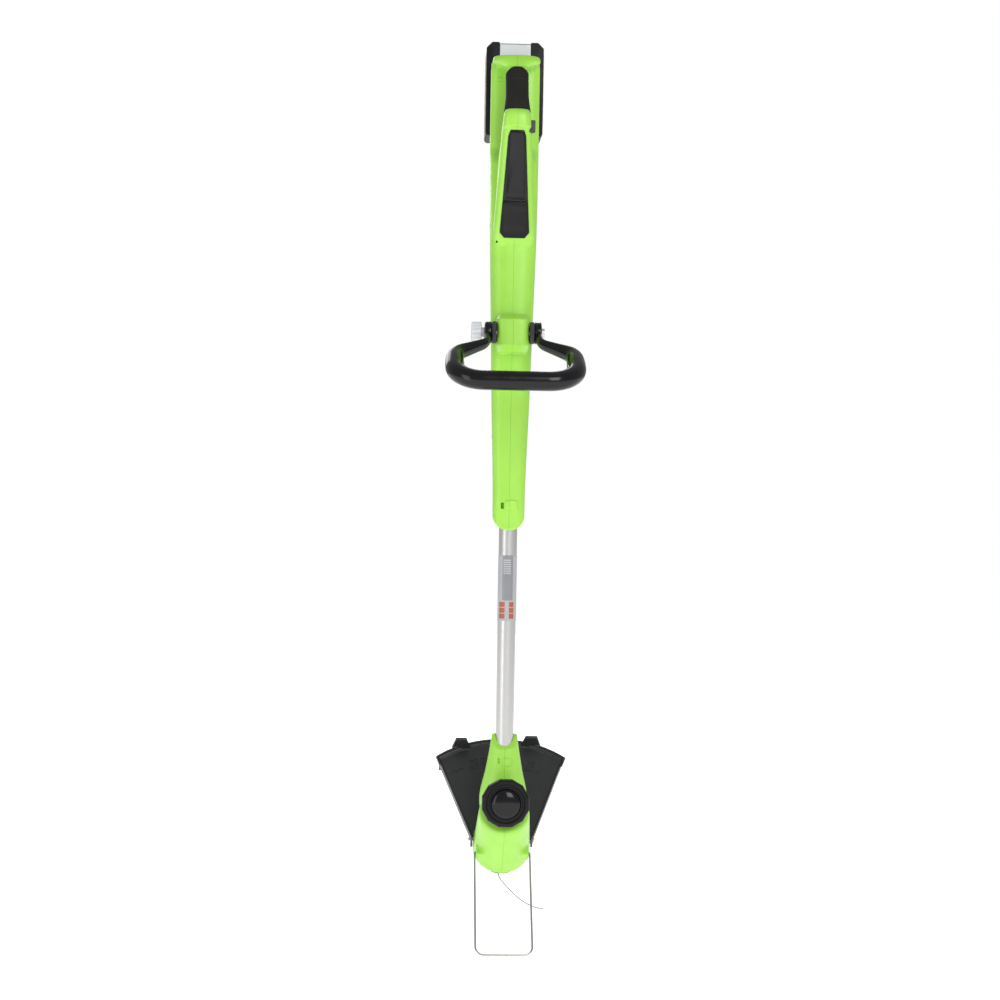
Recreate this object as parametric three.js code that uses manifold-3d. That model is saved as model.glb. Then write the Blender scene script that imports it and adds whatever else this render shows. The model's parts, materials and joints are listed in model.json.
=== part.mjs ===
// A cordless string trimmer: a long housing with a rear handle and a battery, a straight tube, and a
// tilted cutting head with its guard. Millimetres, +Z up along the tube toward the operator, the
// upper (dorsal) side of the tool facing -Y, and the operator's right hand on +X.
// The origin is the middle of the rear grip, where the tool is held.
import * as THREE from 'three';
import { mergeVertices } from 'three/addons/utils/BufferGeometryUtils.js';
import Module from 'manifold-3d';

const wasm = await Module();
wasm.setup();

// ---------------------------------------------------------------- driving dimensions

// General fits.
const GAP = 0.3; // clearance between pieces that touch
const RUN = 0.6; // clearance round a piece that turns or slides
const WALL = 2.6; // wall of the moulded shells
const SIDES = 24; // sides of a middling round piece

// Tube.
const TUBE_RADIUS = 12.5;
const TUBE_WALL = 1.6;
const TUBE_SHOWN = 281; // bare tube between the head and the housing
const TUBE_IN_HOUSING = 104;
const LABEL_LENGTH = 90;
const LABEL_THICKNESS = 0.5;
const LABEL_BELOW_NOSE = 34; // from the housing's nose down to the label

// Cutting head. w is measured along the motor axis from the guard's deck.
const HEAD_TILT = 50; // degrees between the tube and the motor axis
const HEAD_OFFSET = 24; // motor axis to tube axis at the deck
const SKIRT_RADIUS = 40.5;
const SKIRT_DEPTH = 27;
const HEAD_HEIGHT = 72;
const HEAD_TOP_RADIUS = 34.5;
const NECK_HALF_WIDTH = 17.6;
const NECK_TOP = 133; // dorsal lip of the neck above the deck's middle
const TUBE_STOP = 88; // lower end of the tube above the deck's middle
const EAR_INSET = 4.1; // the wire guard's ears stand this far inside the skirt

// Motor and line spool.
const MOTOR_RADIUS = 18;
const MOTOR_LENGTH = 50;
const MOTOR_SHAFT_RADIUS = 2.5;
const DRUM_RADIUS = 33;
const DRUM_TOP = -9;
const DRUM_DEPTH = 31;
const SPOOL_RADIUS = 28;
const BUMP_TRAVEL = 4;
const BUMP_RADIUS = 15;
const LINE_RADIUS = 0.83;
const LINE_PLANE = -31;

// Edge wheel.
const WHEEL_RADIUS = 33;
const WHEEL_THICKNESS = 15;
const WHEEL_FLATS = 12;
const WHEEL_AXLE_RADIUS = 5;
const DOME_RADIUS = 19.5;
const AXLE_SEAT = 11; // how deep the axle sits in its boss
const WHEEL_STANDS = 54.5; // tube axis to the back of the wheel
const WHEEL_RISE = 62.3; // wheel's middle above the deck's middle, along the tube
const WHEEL_BOSS_RADIUS = 24;

// Guard.
const GUARD_RADIUS = 155;
const GUARD_HALF_CHORD = 90;
const GUARD_THICKNESS = 3;
const GUARD_DEPTH = 30;
const TAB_HEIGHT = 24; // the two tabs on the guard's outer edge, above its deck

// Wire guard.
const WIRE_RADIUS = 1.5;
const WIRE_LEG = 155;
const WIRE_BEND = 9;
const WIRE_HINGE_V = -22;
const WIRE_HINGE_W = -1;

// Housing. h is measured up the tube axis from the housing's nose.
const HOUSING_LENGTH = 650;
const NOSE_HALF_WIDTH = 22;
const HOUSING_HALF_WIDTH = 34;
const HANDLE_PEAK = 71; // dorsal height of the handle above the tube axis
const SLOPE_START = 403; // the slope in front of the grip
const SLOPE_END = 540;
const GRIP_START = 562;
const GRIP_END = 632;
const HOLD_H = 588; // where the middle of the hand lies on the grip
const GRIP_HALF_WIDTH = 14.5;
const RUBBER = 2.2;

// Inlay on the slope.
const INLAY_DEPTH = 2.4;
const INLAY_STANDS = 1.4; // how far it stands above the slope
const INLAY_JOINT = 45; // from the slope's start to the joint between its two pieces

// Trigger and lock-out button.
const TRIGGER_HALF_WIDTH = 6;
const TRIGGER_PIN_RADIUS = 1.5;
const LOCKOUT_HALF_LENGTH = 8;
const LOCKOUT_HALF_HEIGHT = 5.5;
const LOCKOUT_DEPTH = 8.5;

// Control board inside the housing.
const BOARD_HALF_WIDTH = 16;
const BOARD_THICKNESS = 1.6;
const BOARD_LENGTH = 90;

// Front handle.
const HANDLE_AXIS_H = 269.5;
const HANDLE_AXIS_Y = -40;
const COLLAR_HALF_WIDTH = 22.5;
const COLLAR_LENGTH = 52;
const COLLAR_ABOVE_AXIS = 13; // the collar's top above the handle's axis
const DISC_RADIUS = 15;
const DISC_THICKNESS = 6;
const EAR_THICKNESS = 9.5;
const HANDLE_HALF_SPAN = 80; // middle of the loop's sides
const HANDLE_REACH = 146;
const HANDLE_TILT = 30; // degrees from straight out toward the head
const HANDLE_BAR_RADIUS = 13;
const HANDLE_BOLT_RADIUS = 3;
const KNOB_RADIUS = 14.5;
const KNOB_LENGTH = 14;

// Battery.
const BATTERY_WIDTH = 80;
const BATTERY_LENGTH = 131;
const BATTERY_DEPTH = 62;
const BATTERY_OVERHANG = 32; // past the housing's rear end
const RAIL_HALF_WIDTH = 27;
const RAIL_NECK_HALF_WIDTH = 22;
const RAIL_DEPTH = 9;
const CELL_RADIUS = 9.2;
const CELL_LENGTH = 65;

// ---------------------------------------------------------------- values worked out from them

const tilt = THREE.MathUtils.degToRad(HEAD_TILT);
const neckTopSide = NECK_TOP + TUBE_RADIUS * Math.tan(tilt);
const neckEndW = (TUBE_RADIUS + HEAD_OFFSET) * Math.sin(tilt) + NECK_TOP * Math.cos(tilt);
const noseZ = neckTopSide + TUBE_SHOWN;
const tubeEndZ = noseZ + TUBE_IN_HOUSING;
const earHalfWidth = SKIRT_RADIUS - EAR_INSET;
const bodyFloor = 30.5; // ventral face of the housing at the battery
const underHand = 3; // dorsal face of the housing under the hand
const holdPoint = new THREE.Vector3(0, -52, noseZ + HOLD_H);

// ---------------------------------------------------------------- materials

function material(color, roughness, metalness = 0) {
  return new THREE.MeshStandardMaterial({ color, roughness, metalness });
}

const green = material(0x93e01f, 0.42);
const black = material(0x1c1c1e, 0.5);
const glossBlack = material(0x141416, 0.2);
const rubber = material(0x202022, 0.85);
const darkGrey = material(0x3a3a3d, 0.55);
const lightGrey = material(0xc6c8cc, 0.5);
const midGrey = material(0x8c8c93, 0.5);
const steel = material(0xb4b6b8, 0.3, 1);
const aluminium = material(0xc9c8c5, 0.35, 1);
const brass = material(0xb9913f, 0.35, 1);
const labelGrey = material(0x8f9296, 0.5);
const nylonLine = material(0x9a9a98, 0.4);
const circuitGreen = material(0x1d5a35, 0.6);
const red = material(0xb02020, 0.5);
const cellBlue = material(0x2b5f9e, 0.45);

// ---------------------------------------------------------------- solids

// A closed geometry as a solid for joining and cutting.
function solidOf(geometry) {
  const bare = geometry.clone();
  bare.deleteAttribute('normal');
  bare.deleteAttribute('uv');
  const merged = mergeVertices(bare, 1e-4);
  return new wasm.Manifold(new wasm.Mesh({
    numProp: 3,
    vertProperties: merged.attributes.position.array,
    triVerts: Uint32Array.from(merged.index.array),
  }));
}

function join(first, ...others) {
  return others.reduce((sum, next) => sum.add(next), first);
}

function cut(first, ...others) {
  return others.reduce((rest, next) => rest.subtract(next), first);
}

// A box between two corners.
function block(x0, x1, y0, y1, z0, z1) {
  const geometry = new THREE.BoxGeometry(x1 - x0, y1 - y0, z1 - z0);
  return solidOf(geometry.translate((x0 + x1) / 2, (y0 + y1) / 2, (z0 + z1) / 2));
}

// Turns a geometry whose length runs along +Z so that it runs along X or Y instead.
const turns = {
  x: new THREE.Matrix4().makeBasis(
    new THREE.Vector3(0, 1, 0), new THREE.Vector3(0, 0, 1), new THREE.Vector3(1, 0, 0)),
  y: new THREE.Matrix4().makeBasis(
    new THREE.Vector3(0, 0, 1), new THREE.Vector3(1, 0, 0), new THREE.Vector3(0, 1, 0)),
  z: new THREE.Matrix4(),
};

// A round bar along an axis, from one station to another, centred on (a, b) in the other two axes.
function bar(axis, radius, from, to, a = 0, b = 0, sides = SIDES, endRadius = radius) {
  const geometry = new THREE.CylinderGeometry(endRadius, radius, to - from, sides);
  geometry.rotateX(Math.PI / 2).translate(a, b, (from + to) / 2);
  return solidOf(geometry.applyMatrix4(turns[axis]));
}

// An outline pushed along an axis. Points are (y, z) for axis x, (z, x) for y and (x, y) for z.
function slab(axis, points, from, to) {
  const outline = new THREE.Shape(points.map(([a, b]) => new THREE.Vector2(a, b)));
  const geometry = new THREE.ExtrudeGeometry(outline, { depth: to - from, bevelEnabled: false });
  geometry.translate(0, 0, from);
  return solidOf(geometry.applyMatrix4(turns[axis]));
}

// A turned piece about Z. The profile is (radius, z), starts and ends on the axis or closes, and
// may run either way round.
function turned(profile, sides = SIDES) {
  const points = profile.map(([r, z]) => new THREE.Vector2(r, z));
  if (THREE.ShapeUtils.area(points) < 0) points.reverse();
  return solidOf(new THREE.LatheGeometry(points, sides).rotateX(Math.PI / 2));
}

// A body whose section changes along Z. Each station is [z, half width, dorsal y, ventral y], and
// the section is a rounded rectangle: the larger the power, the squarer its corners.
function loft(stations, power = 2.8, sides = SIDES) {
  const last = stations.length - 1;
  const geometry = new THREE.CylinderGeometry(1, 1, last, sides, last).rotateX(Math.PI / 2);
  const position = geometry.attributes.position;
  const squared = (value) => Math.sign(value) * Math.abs(value) ** (2 / power);
  for (let i = 0; i < position.count; i += 1) {
    const [z, halfWidth, dorsal, ventral] = stations[Math.round(position.getZ(i) + last / 2)];
    const x = halfWidth * squared(position.getX(i));
    const y = (dorsal + ventral) / 2 + ((ventral - dorsal) / 2) * squared(position.getY(i));
    position.setXYZ(i, x, y, z);
  }
  return solidOf(geometry);
}

// Straight-line value between two stations.
function between(z, z0, z1, value0, value1) {
  return value0 + ((z - z0) / (z1 - z0)) * (value1 - value0);
}

// The section of a lofted body at a height.
function sectionAt(stations, z) {
  const next = Math.max(1, stations.findIndex(([height]) => height >= z));
  const [low, high] = [stations[next - 1], stations[next]];
  return low.map((value, k) => between(z, low[0], high[0], value, high[k]));
}

// The stretch of a lofted body between two heights.
function stretch(stations, from, to) {
  const inner = stations.filter(([z]) => z > from && z < to);
  return [sectionAt(stations, from), ...inner, sectionAt(stations, to)];
}

// The same stations drawn in by a wall.
function inset(stations, wall) {
  return stations.map(([z, half, dorsal, ventral]) => [z, half - wall, dorsal + wall, ventral - wall]);
}

// A round wire along a curve.
function wire(curve, radius, sides, steps) {
  const circle = new THREE.Shape();
  for (let i = 0; i < sides; i += 1) {
    const angle = (i * 2 * Math.PI) / sides;
    const point = [radius * Math.cos(angle), radius * Math.sin(angle)];
    if (i === 0) circle.moveTo(...point);
    else circle.lineTo(...point);
  }
  return new THREE.ExtrudeGeometry(circle, { steps, extrudePath: curve, bevelEnabled: false });
}

// A chain of points with its corners rounded. Each corner is [x, y, z, radius].
function rounded(corners, stepDegrees = 18) {
  const points = corners.map(([x, y, z]) => new THREE.Vector3(x, y, z));
  const route = [points[0]];
  for (let i = 1; i < points.length - 1; i += 1) {
    const before = points[i - 1].clone().sub(points[i]).normalize();
    const after = points[i + 1].clone().sub(points[i]).normalize();
    const turn = Math.PI - before.angleTo(after);
    const reach = corners[i][3] * Math.tan(turn / 2);
    const start = points[i].clone().addScaledVector(before, reach);
    const end = points[i].clone().addScaledVector(after, reach);
    const centre = points[i].clone().addScaledVector(
      before.clone().add(after).normalize(), corners[i][3] / Math.cos(turn / 2));
    const steps = Math.max(2, Math.ceil(THREE.MathUtils.radToDeg(turn) / stepDegrees));
    const axis = before.clone().cross(after).normalize();
    const arm = start.clone().sub(centre);
    for (let k = 0; k < steps; k += 1) {
      route.push(arm.clone().applyAxisAngle(axis, (-turn * k) / steps).add(centre));
    }
    route.push(end);
  }
  route.push(points.at(-1));
  return route;
}

// A round bar through every point of a flat route, with a radius that may change along it.
// The route lies square to the given direction.
function sweep(route, across, radiusAt, sides = 12) {
  const last = route.length - 1;
  const geometry = new THREE.CylinderGeometry(1, 1, last, sides, last).rotateX(Math.PI / 2);
  const position = geometry.attributes.position;
  for (let i = 0; i < position.count; i += 1) {
    const index = Math.round(position.getZ(i) + last / 2);
    const ahead = route[Math.min(index + 1, last)];
    const behind = route[Math.max(index - 1, 0)];
    const along = ahead.clone().sub(behind).normalize();
    const sideways = across.clone().cross(along);
    const radius = radiusAt(index / last);
    const point = route[index].clone()
      .addScaledVector(across, radius * position.getY(i))
      .addScaledVector(sideways, radius * position.getX(i));
    position.setXYZ(i, point.x, point.y, point.z);
  }
  return geometry;
}

// A coil spring along Z.
function coil(radius, wireRadius, from, to, turnCount) {
  class Helix extends THREE.Curve {
    getPoint(t, target = new THREE.Vector3()) {
      const angle = t * turnCount * 2 * Math.PI;
      return target.set(radius * Math.cos(angle), radius * Math.sin(angle), from + t * (to - from));
    }
  }
  return wire(new Helix(), wireRadius, 4, turnCount * 9);
}

function geometryOf(solid) {
  const { vertProperties, triVerts } = solid.getMesh();
  const geometry = new THREE.BufferGeometry();
  geometry.setAttribute('position', new THREE.BufferAttribute(vertProperties, 3));
  geometry.setIndex(new THREE.BufferAttribute(triVerts, 1));
  geometry.computeVertexNormals();
  return geometry;
}

// Adds a named piece to a group.
function add(group, name, shape, surface) {
  const geometry = shape.isBufferGeometry ? shape : geometryOf(shape);
  const mesh = new THREE.Mesh(geometry, surface);
  mesh.name = name;
  group.add(mesh);
  return mesh;
}

// Keeps one side of the middle plane, for the two halves of a shell.
function half(solid, side) {
  const far = 400;
  const keep = side === 'left' ? block(-far, -GAP / 2, -far, far, -far, 2 * far)
    : block(GAP / 2, far, -far, far, -far, 2 * far);
  return solid.intersect(keep);
}

// ---------------------------------------------------------------- frames

const trimmer = new THREE.Group();
trimmer.position.copy(holdPoint).negate();

const head = new THREE.Group(); // X across, Y along the guard, Z up the motor axis
head.position.set(0, HEAD_OFFSET, 0);
head.rotation.x = tilt;
head.updateMatrix();
trimmer.add(head);

const housing = new THREE.Group();
housing.position.z = noseZ;
trimmer.add(housing);

const wheelMount = new THREE.Group(); // Z out along the wheel's axle, Y toward the operator
wheelMount.position.set(0, -WHEEL_STANDS, WHEEL_RISE);
wheelMount.rotation.x = Math.PI / 2;
wheelMount.updateMatrix();
trimmer.add(wheelMount);

// A solid made in the tube's frame, seen from the head's frame.
function inHead(solid) {
  return solidOf(geometryOf(solid).applyMatrix4(head.matrix.clone().invert()));
}

// A solid made in the wheel's frame, seen from the head's frame.
function wheelToHead(solid) {
  return inHead(solidOf(geometryOf(solid).applyMatrix4(wheelMount.matrix)));
}

// ---------------------------------------------------------------- tube

function makeTube() {
  const tube = cut(bar('z', TUBE_RADIUS, TUBE_STOP, tubeEndZ, 0, 0, 32),
    bar('z', TUBE_RADIUS - TUBE_WALL, TUBE_STOP - 1, tubeEndZ + 1));
  add(trimmer, 'shaft_tube', tube, aluminium);

  const labelTop = noseZ - LABEL_BELOW_NOSE;
  const inner = TUBE_RADIUS + 0.1;
  const ring = cut(bar('z', inner + LABEL_THICKNESS, labelTop - LABEL_LENGTH, labelTop, 0, 0, 32),
    bar('z', inner, labelTop - LABEL_LENGTH - 1, labelTop + 1, 0, 0, 32));
  const front = block(-TUBE_RADIUS * 2, TUBE_RADIUS * 2, -TUBE_RADIUS * 2, -1,
    labelTop - LABEL_LENGTH - 1, labelTop + 1);
  add(trimmer, 'shaft_label', ring.intersect(front), labelGrey);
}

// Two leads from the control board down the tube to the motor.
function makeLeads() {
  const reach = TUBE_STOP - 12;
  const spread = 2.6;
  for (const [name, side, surface] of [['lead_positive', 1, red], ['lead_negative', -1, black]]) {
    const x = side * spread;
    const route = new THREE.CatmullRomCurve3([
      new THREE.Vector3(x, 0, tubeEndZ + 14),
      new THREE.Vector3(x, 0, tubeEndZ - 20),
      new THREE.Vector3(x, 0, (tubeEndZ + reach) / 2),
      new THREE.Vector3(x, 0, TUBE_STOP + 4),
      new THREE.Vector3(x, 2, reach),
    ], false, 'centripetal');
    add(trimmer, name, wire(route, 1.2, 6, 16), surface);
  }
}

// ---------------------------------------------------------------- cutting head

// Radius of the head's outer wall at a height up the motor axis.
function headRadius(w) {
  const share = (w + SKIRT_DEPTH) / (HEAD_HEIGHT + SKIRT_DEPTH);
  return SKIRT_RADIUS + share * (HEAD_TOP_RADIUS - SKIRT_RADIUS);
}

// The neck's sections in the tube's frame, from inside the motor bay up to the lip.
function neckStations() {
  const width = NECK_HALF_WIDTH;
  const front = -(TUBE_RADIUS + 4);
  return [
    [22, width + 11, 2, 32],
    [57, width + 15.5, front + 3, 40],
    [101, width + 7.4, front, 26],
    [NECK_TOP + 10, width + 0.5, front, TUBE_RADIUS + 5],
    [neckTopSide, width, front, TUBE_RADIUS + 4],
  ];
}

function makeHeadShell() {
  const low = -SKIRT_DEPTH;
  const barrel = turned([
    [0, low], [headRadius(low), low], [headRadius(HEAD_HEIGHT - 6), HEAD_HEIGHT - 6],
    [headRadius(HEAD_HEIGHT) - 4, HEAD_HEIGHT], [0, HEAD_HEIGHT],
  ], 40);
  const neck = cut(inHead(loft(neckStations(), 2.4, 28)), block(-60, 60, -200, 300, neckEndW, 300));
  const ears = [-1, 1].map((side) => {
    const inner = side * (earHalfWidth - 10.4);
    const outer = side * earHalfWidth;
    return block(Math.min(inner, outer), Math.max(inner, outer), WIRE_HINGE_V - 8, 2, -9, 8);
  });
  const bossRoot = -50;
  const boss = wheelToHead(bar('z', WHEEL_BOSS_RADIUS, bossRoot, 0, 0, 0, 40, WHEEL_BOSS_RADIUS - 3));

  // Hollows: the motor bay, the spool's recess, the tube's bore and the leads' way.
  const bayTop = HEAD_HEIGHT - WALL - 1.5;
  const bay = turned([
    [0, 3], [headRadius(3) - WALL, 3], [headRadius(bayTop) - WALL - 3, bayTop], [0, bayTop],
  ], 40);
  const recess = turned([
    [0, low - 1], [headRadius(low) - WALL, low - 1], [headRadius(-4) - WALL, -4], [0, -4],
  ], 40);
  const tubeBore = inHead(bar('z', TUBE_RADIUS + GAP / 2, TUBE_STOP - GAP, noseZ, 0, 0, 32));
  const leadWay = inHead(bar('z', 7, 60, TUBE_STOP + 1));
  const shaftHole = bar('z', MOTOR_SHAFT_RADIUS + 3, low, 20);
  const bossHollow = wheelToHead(bar('z', WHEEL_BOSS_RADIUS - 4, bossRoot, -15, 0, 0, 32));
  const axleHole = wheelToHead(bar('z', WHEEL_AXLE_RADIUS - 1 + GAP, -AXLE_SEAT - 1, 1));
  const hingeHole = bar('x', WIRE_RADIUS + GAP, -60, 60, WIRE_HINGE_V, WIRE_HINGE_W, 10);

  const shell = cut(join(barrel, neck, boss, ...ears), bay, bossHollow, recess, tubeBore, leadWay,
    shaftHole, axleHole, hingeHole, ...[-1, 1].map((side) => guardScrewHole(side)));
  add(head, 'head_shell_left', half(shell, 'left'), green);
  add(head, 'head_shell_right', half(shell, 'right'), green);
}

// Middle of a guard screw, which holds the guard's collar to the skirt.
const screwW = -14;

function guardScrewHole(side, radius = 1.6) {
  const from = side > 0 ? SKIRT_RADIUS - 8 : -SKIRT_RADIUS - 8;
  return bar('x', radius, from, from + 16, 5, screwW, 12);
}

function makeMotor() {
  const can = turned([
    [0, 20], [MOTOR_SHAFT_RADIUS + GAP, 20], [MOTOR_SHAFT_RADIUS + GAP, 4], [MOTOR_RADIUS, 4],
    [MOTOR_RADIUS, 4 + MOTOR_LENGTH], [6, 4 + MOTOR_LENGTH], [5, 7 + MOTOR_LENGTH],
    [0, 7 + MOTOR_LENGTH],
  ]);
  add(head, 'motor_can', can, steel);
  const bush = cut(bar('z', MOTOR_SHAFT_RADIUS + 3 - GAP, -4, 3.4),
    bar('z', MOTOR_SHAFT_RADIUS + GAP, -5, 4));
  add(head, 'shaft_bush', bush, brass);
  add(head, 'motor_shaft', bar('z', MOTOR_SHAFT_RADIUS, DRUM_TOP - 19, 19.5, 0, 0, 16), steel);
}

// ---------------------------------------------------------------- line spool

const drumFloor = DRUM_TOP - DRUM_DEPTH;
const exitAngle = THREE.MathUtils.degToRad(-97); // the line leaves the drum toward the front

function makeSpool() {
  const hub = MOTOR_SHAFT_RADIUS + 5;
  const bore = MOTOR_SHAFT_RADIUS + GAP;
  const side = DRUM_RADIUS - WALL;
  const hubEnd = DRUM_TOP - 7;
  const shell = turned([
    [bore, DRUM_TOP], [DRUM_RADIUS - 2, DRUM_TOP], [DRUM_RADIUS, DRUM_TOP - 2],
    [DRUM_RADIUS, drumFloor], [side, drumFloor], [side, DRUM_TOP - WALL],
    [hub, DRUM_TOP - WALL], [hub, hubEnd], [bore, hubEnd], [bore, DRUM_TOP],
  ]);
  const eyeletHole = radial(3 + GAP / 2, DRUM_RADIUS - 6, DRUM_RADIUS + 3);
  add(head, 'spool_drum', cut(shell, eyeletHole), black);

  const capTop = drumFloor - GAP;
  const lid = cut(bar('z', DRUM_RADIUS, capTop - 2.5, capTop, 0, 0, 32),
    bar('z', BUMP_RADIUS + RUN, capTop - 4, capTop + 1));
  add(head, 'drum_cover', lid, black);

  const floor = drumFloor + 2;
  const top = floor + DRUM_DEPTH - WALL - BUMP_TRAVEL - 5;
  const bobbin = turned([
    [0, floor], [SPOOL_RADIUS, floor], [SPOOL_RADIUS, floor + 2], [14, floor + 2], [14, top - 2],
    [SPOOL_RADIUS, top - 2], [SPOOL_RADIUS, top], [hub + 1.5, top], [hub + 1.5, floor + 4],
    [0, floor + 4],
  ]);
  add(head, 'spool', bobbin, darkGrey);
  const winding = cut(bar('z', 24, floor + 2 + GAP, top - 2 - GAP),
    bar('z', 14 + GAP, floor, top));
  add(head, 'line_winding', winding, nylonLine);
  const knob = turned([
    [0, floor - 11], [BUMP_RADIUS - 4, floor - 11], [BUMP_RADIUS, floor - 7],
    [BUMP_RADIUS, floor - GAP], [0, floor - GAP],
  ]);
  add(head, 'bump_knob', knob, black);
  add(head, 'spool_spring', coil(hub - 0.6, 0.6, floor + 5, hubEnd - 1, 4), steel);

  const eyelet = cut(radial(3, DRUM_RADIUS - 4, DRUM_RADIUS + 1.5),
    radial(LINE_RADIUS + 0.6, DRUM_RADIUS - 5, DRUM_RADIUS + 3));
  add(head, 'line_eyelet', eyelet, steel);
}

// A round bar square to the motor axis, toward the line's way out.
function radial(radius, from, to) {
  const geometry = new THREE.CylinderGeometry(radius, radius, to - from, 14).rotateZ(-Math.PI / 2);
  geometry.translate((from + to) / 2, 0, LINE_PLANE).rotateZ(exitAngle);
  return solidOf(geometry);
}

// The free end of the line, from inside the eyelet to its cut end.
function makeLine() {
  const route = new THREE.CatmullRomCurve3([
    [-3.5, -28.4], [-4.6, -37.5], [-2, -46], [7.5, -59], [22, -75], [37, -86], [47.5, -90.5], [57, -92],
  ].map(([u, v]) => new THREE.Vector3(u, v, LINE_PLANE)), false, 'centripetal');
  add(head, 'cutting_line', wire(route, LINE_RADIUS, 8, 26), nylonLine);
}

// ---------------------------------------------------------------- edge wheel

function makeWheel() {
  const low = RUN;
  const top = low + WHEEL_THICKNESS;
  const rim = new THREE.CylinderGeometry(WHEEL_RADIUS, WHEEL_RADIUS, WHEEL_THICKNESS, WHEEL_FLATS);
  rim.rotateX(Math.PI / 2).rotateZ(Math.PI / WHEEL_FLATS).translate(0, 0, (low + top) / 2);
  const seat = top - 3;
  const headRoom = seat - 5;
  const groove = cut(bar('z', DOME_RADIUS + 4.5, top - 2.5, top + 1, 0, 0, 32),
    bar('z', DOME_RADIUS + 1.5, top - 3, top + 2, 0, 0, 32));
  const wheel = cut(solidOf(rim), groove, bar('z', DOME_RADIUS + GAP, seat, top + 1, 0, 0, 32),
    bar('z', WHEEL_AXLE_RADIUS + 4 + RUN, headRoom, top),
    bar('z', WHEEL_AXLE_RADIUS + RUN, low - 1, top));
  add(wheelMount, 'edge_wheel', wheel, black);

  const axle = join(bar('z', WHEEL_AXLE_RADIUS, GAP, headRoom + 1),
    bar('z', WHEEL_AXLE_RADIUS - 1, -AXLE_SEAT, 1),
    bar('z', WHEEL_AXLE_RADIUS + 4, headRoom + RUN, headRoom + 3.6));
  add(wheelMount, 'wheel_axle', axle, steel);

  const rise = 6.5;
  const dome = [[0, seat + 1.4], [WHEEL_AXLE_RADIUS + 6, seat + 1.4], [WHEEL_AXLE_RADIUS + 6, seat + GAP],
    [DOME_RADIUS, seat + GAP]];
  for (let i = 0; i <= 4; i += 1) {
    const angle = (i / 4) * (Math.PI / 2);
    dome.push([i === 4 ? 0 : DOME_RADIUS * Math.cos(angle), top + 1 + rise * Math.sin(angle)]);
  }
  add(wheelMount, 'wheel_dome', turned(dome), glossBlack);
}

// ---------------------------------------------------------------- guard

// The guard's plan: straight sides from the skirt to the corners and an arc about the motor axis.
function fan(margin, from, to) {
  const radius = GUARD_RADIUS + margin;
  const chord = GUARD_HALF_CHORD + margin;
  const start = SKIRT_RADIUS + GAP + GUARD_THICKNESS + margin;
  const sweepAngle = Math.asin(chord / radius);
  const outline = [[start, 0]];
  const steps = 14;
  for (let i = 0; i <= steps; i += 1) {
    const angle = sweepAngle - (2 * sweepAngle * i) / steps;
    outline.push([radius * Math.sin(angle), radius * Math.cos(angle)]);
  }
  outline.push([-start, 0]);
  return slab('z', outline, from, to);
}

function makeGuard() {
  const thick = GUARD_THICKNESS;
  const ringRadius = SKIRT_RADIUS + GAP;
  const beyond = block(-200, 200, -2, 300, -100, 100);
  const deck = fan(0, 0, thick);
  const border = cut(fan(0, -8, thick + 2), fan(-thick, -9, thick + 3));
  const skirtWall = cut(fan(0, -GUARD_DEPTH, 0), fan(-thick, -GUARD_DEPTH - 1, 1))
    .intersect(block(-200, 200, GUARD_RADIUS * 0.74, 300, -100, 100));
  const lip = cut(fan(3, thick - 1, thick + 5), fan(0, thick - 2, thick + 6))
    .intersect(block(-200, 200, GUARD_RADIUS * 0.74, 300, -100, 100));
  const tabs = [[-57, 10.5], [43.5, 11.5]].map(([middle, halfWidth]) => {
    const v = Math.sqrt((GUARD_RADIUS + 1.5) ** 2 - middle ** 2);
    const [near, far, base, tip] = [v - 2.5, v + 1.5, thick + 1, thick + TAB_HEIGHT];
    const outline = [[near, base], [far, base], [far, tip], [near, tip]];
    const corner = [[thick, middle - halfWidth - 3], [thick, middle + halfWidth + 3],
      [tip, middle + halfWidth - 3], [tip, middle - halfWidth + 3]];
    return slab('x', outline, middle - halfWidth - 4, middle + halfWidth + 4)
      .intersect(slab('y', corner, v - 10, v + 10));
  });
  const collar = cut(bar('z', ringRadius + thick, -SKIRT_DEPTH + 4, thick, 0, 0, 40))
    .intersect(beyond);
  const guard = cut(join(deck, border, skirtWall, lip, collar, ...tabs),
    bar('z', ringRadius, -100, 100, 0, 0, 40), guardScrewHole(1), guardScrewHole(-1),
    ...bladeHoles());
  add(head, 'guard', guard, black);

  for (const [name, side] of [['guard_screw_left', -1], ['guard_screw_right', 1]]) {
    const face = side * (ringRadius + thick + GAP + 0.6);
    const tip = side * (SKIRT_RADIUS - 6);
    const shank = bar('x', 1.6 - GAP, Math.min(face, tip), Math.max(face, tip), 5, screwW, 12);
    const cap = bar('x', 3.2, Math.min(face, face + side * 2), Math.max(face, face + side * 2), 5,
      screwW, 16);
    add(head, name, join(shank, cap), steel);
  }
}

// The blade that trims the line lies inside the guard's wall near its left corner.
const bladeV = GUARD_RADIUS * 0.88;
const bladeU = -Math.sqrt((GUARD_RADIUS - GUARD_THICKNESS) ** 2 - bladeV ** 2) + 4;

function bladeFrame() {
  const angle = Math.atan2(-bladeU, bladeV);
  return new THREE.Matrix4().makeRotationZ(angle).setPosition(bladeU + 3, bladeV - 3, -GUARD_DEPTH);
}

// Solids made with X along the blade and Y out through the guard's wall.
function atBlade(solid) {
  return solidOf(geometryOf(solid).applyMatrix4(bladeFrame()));
}

function bladeHoles() {
  return [-8, 8].map((x) => atBlade(bar('y', 1.6, -6, 20, 12, x, 12)));
}

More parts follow.
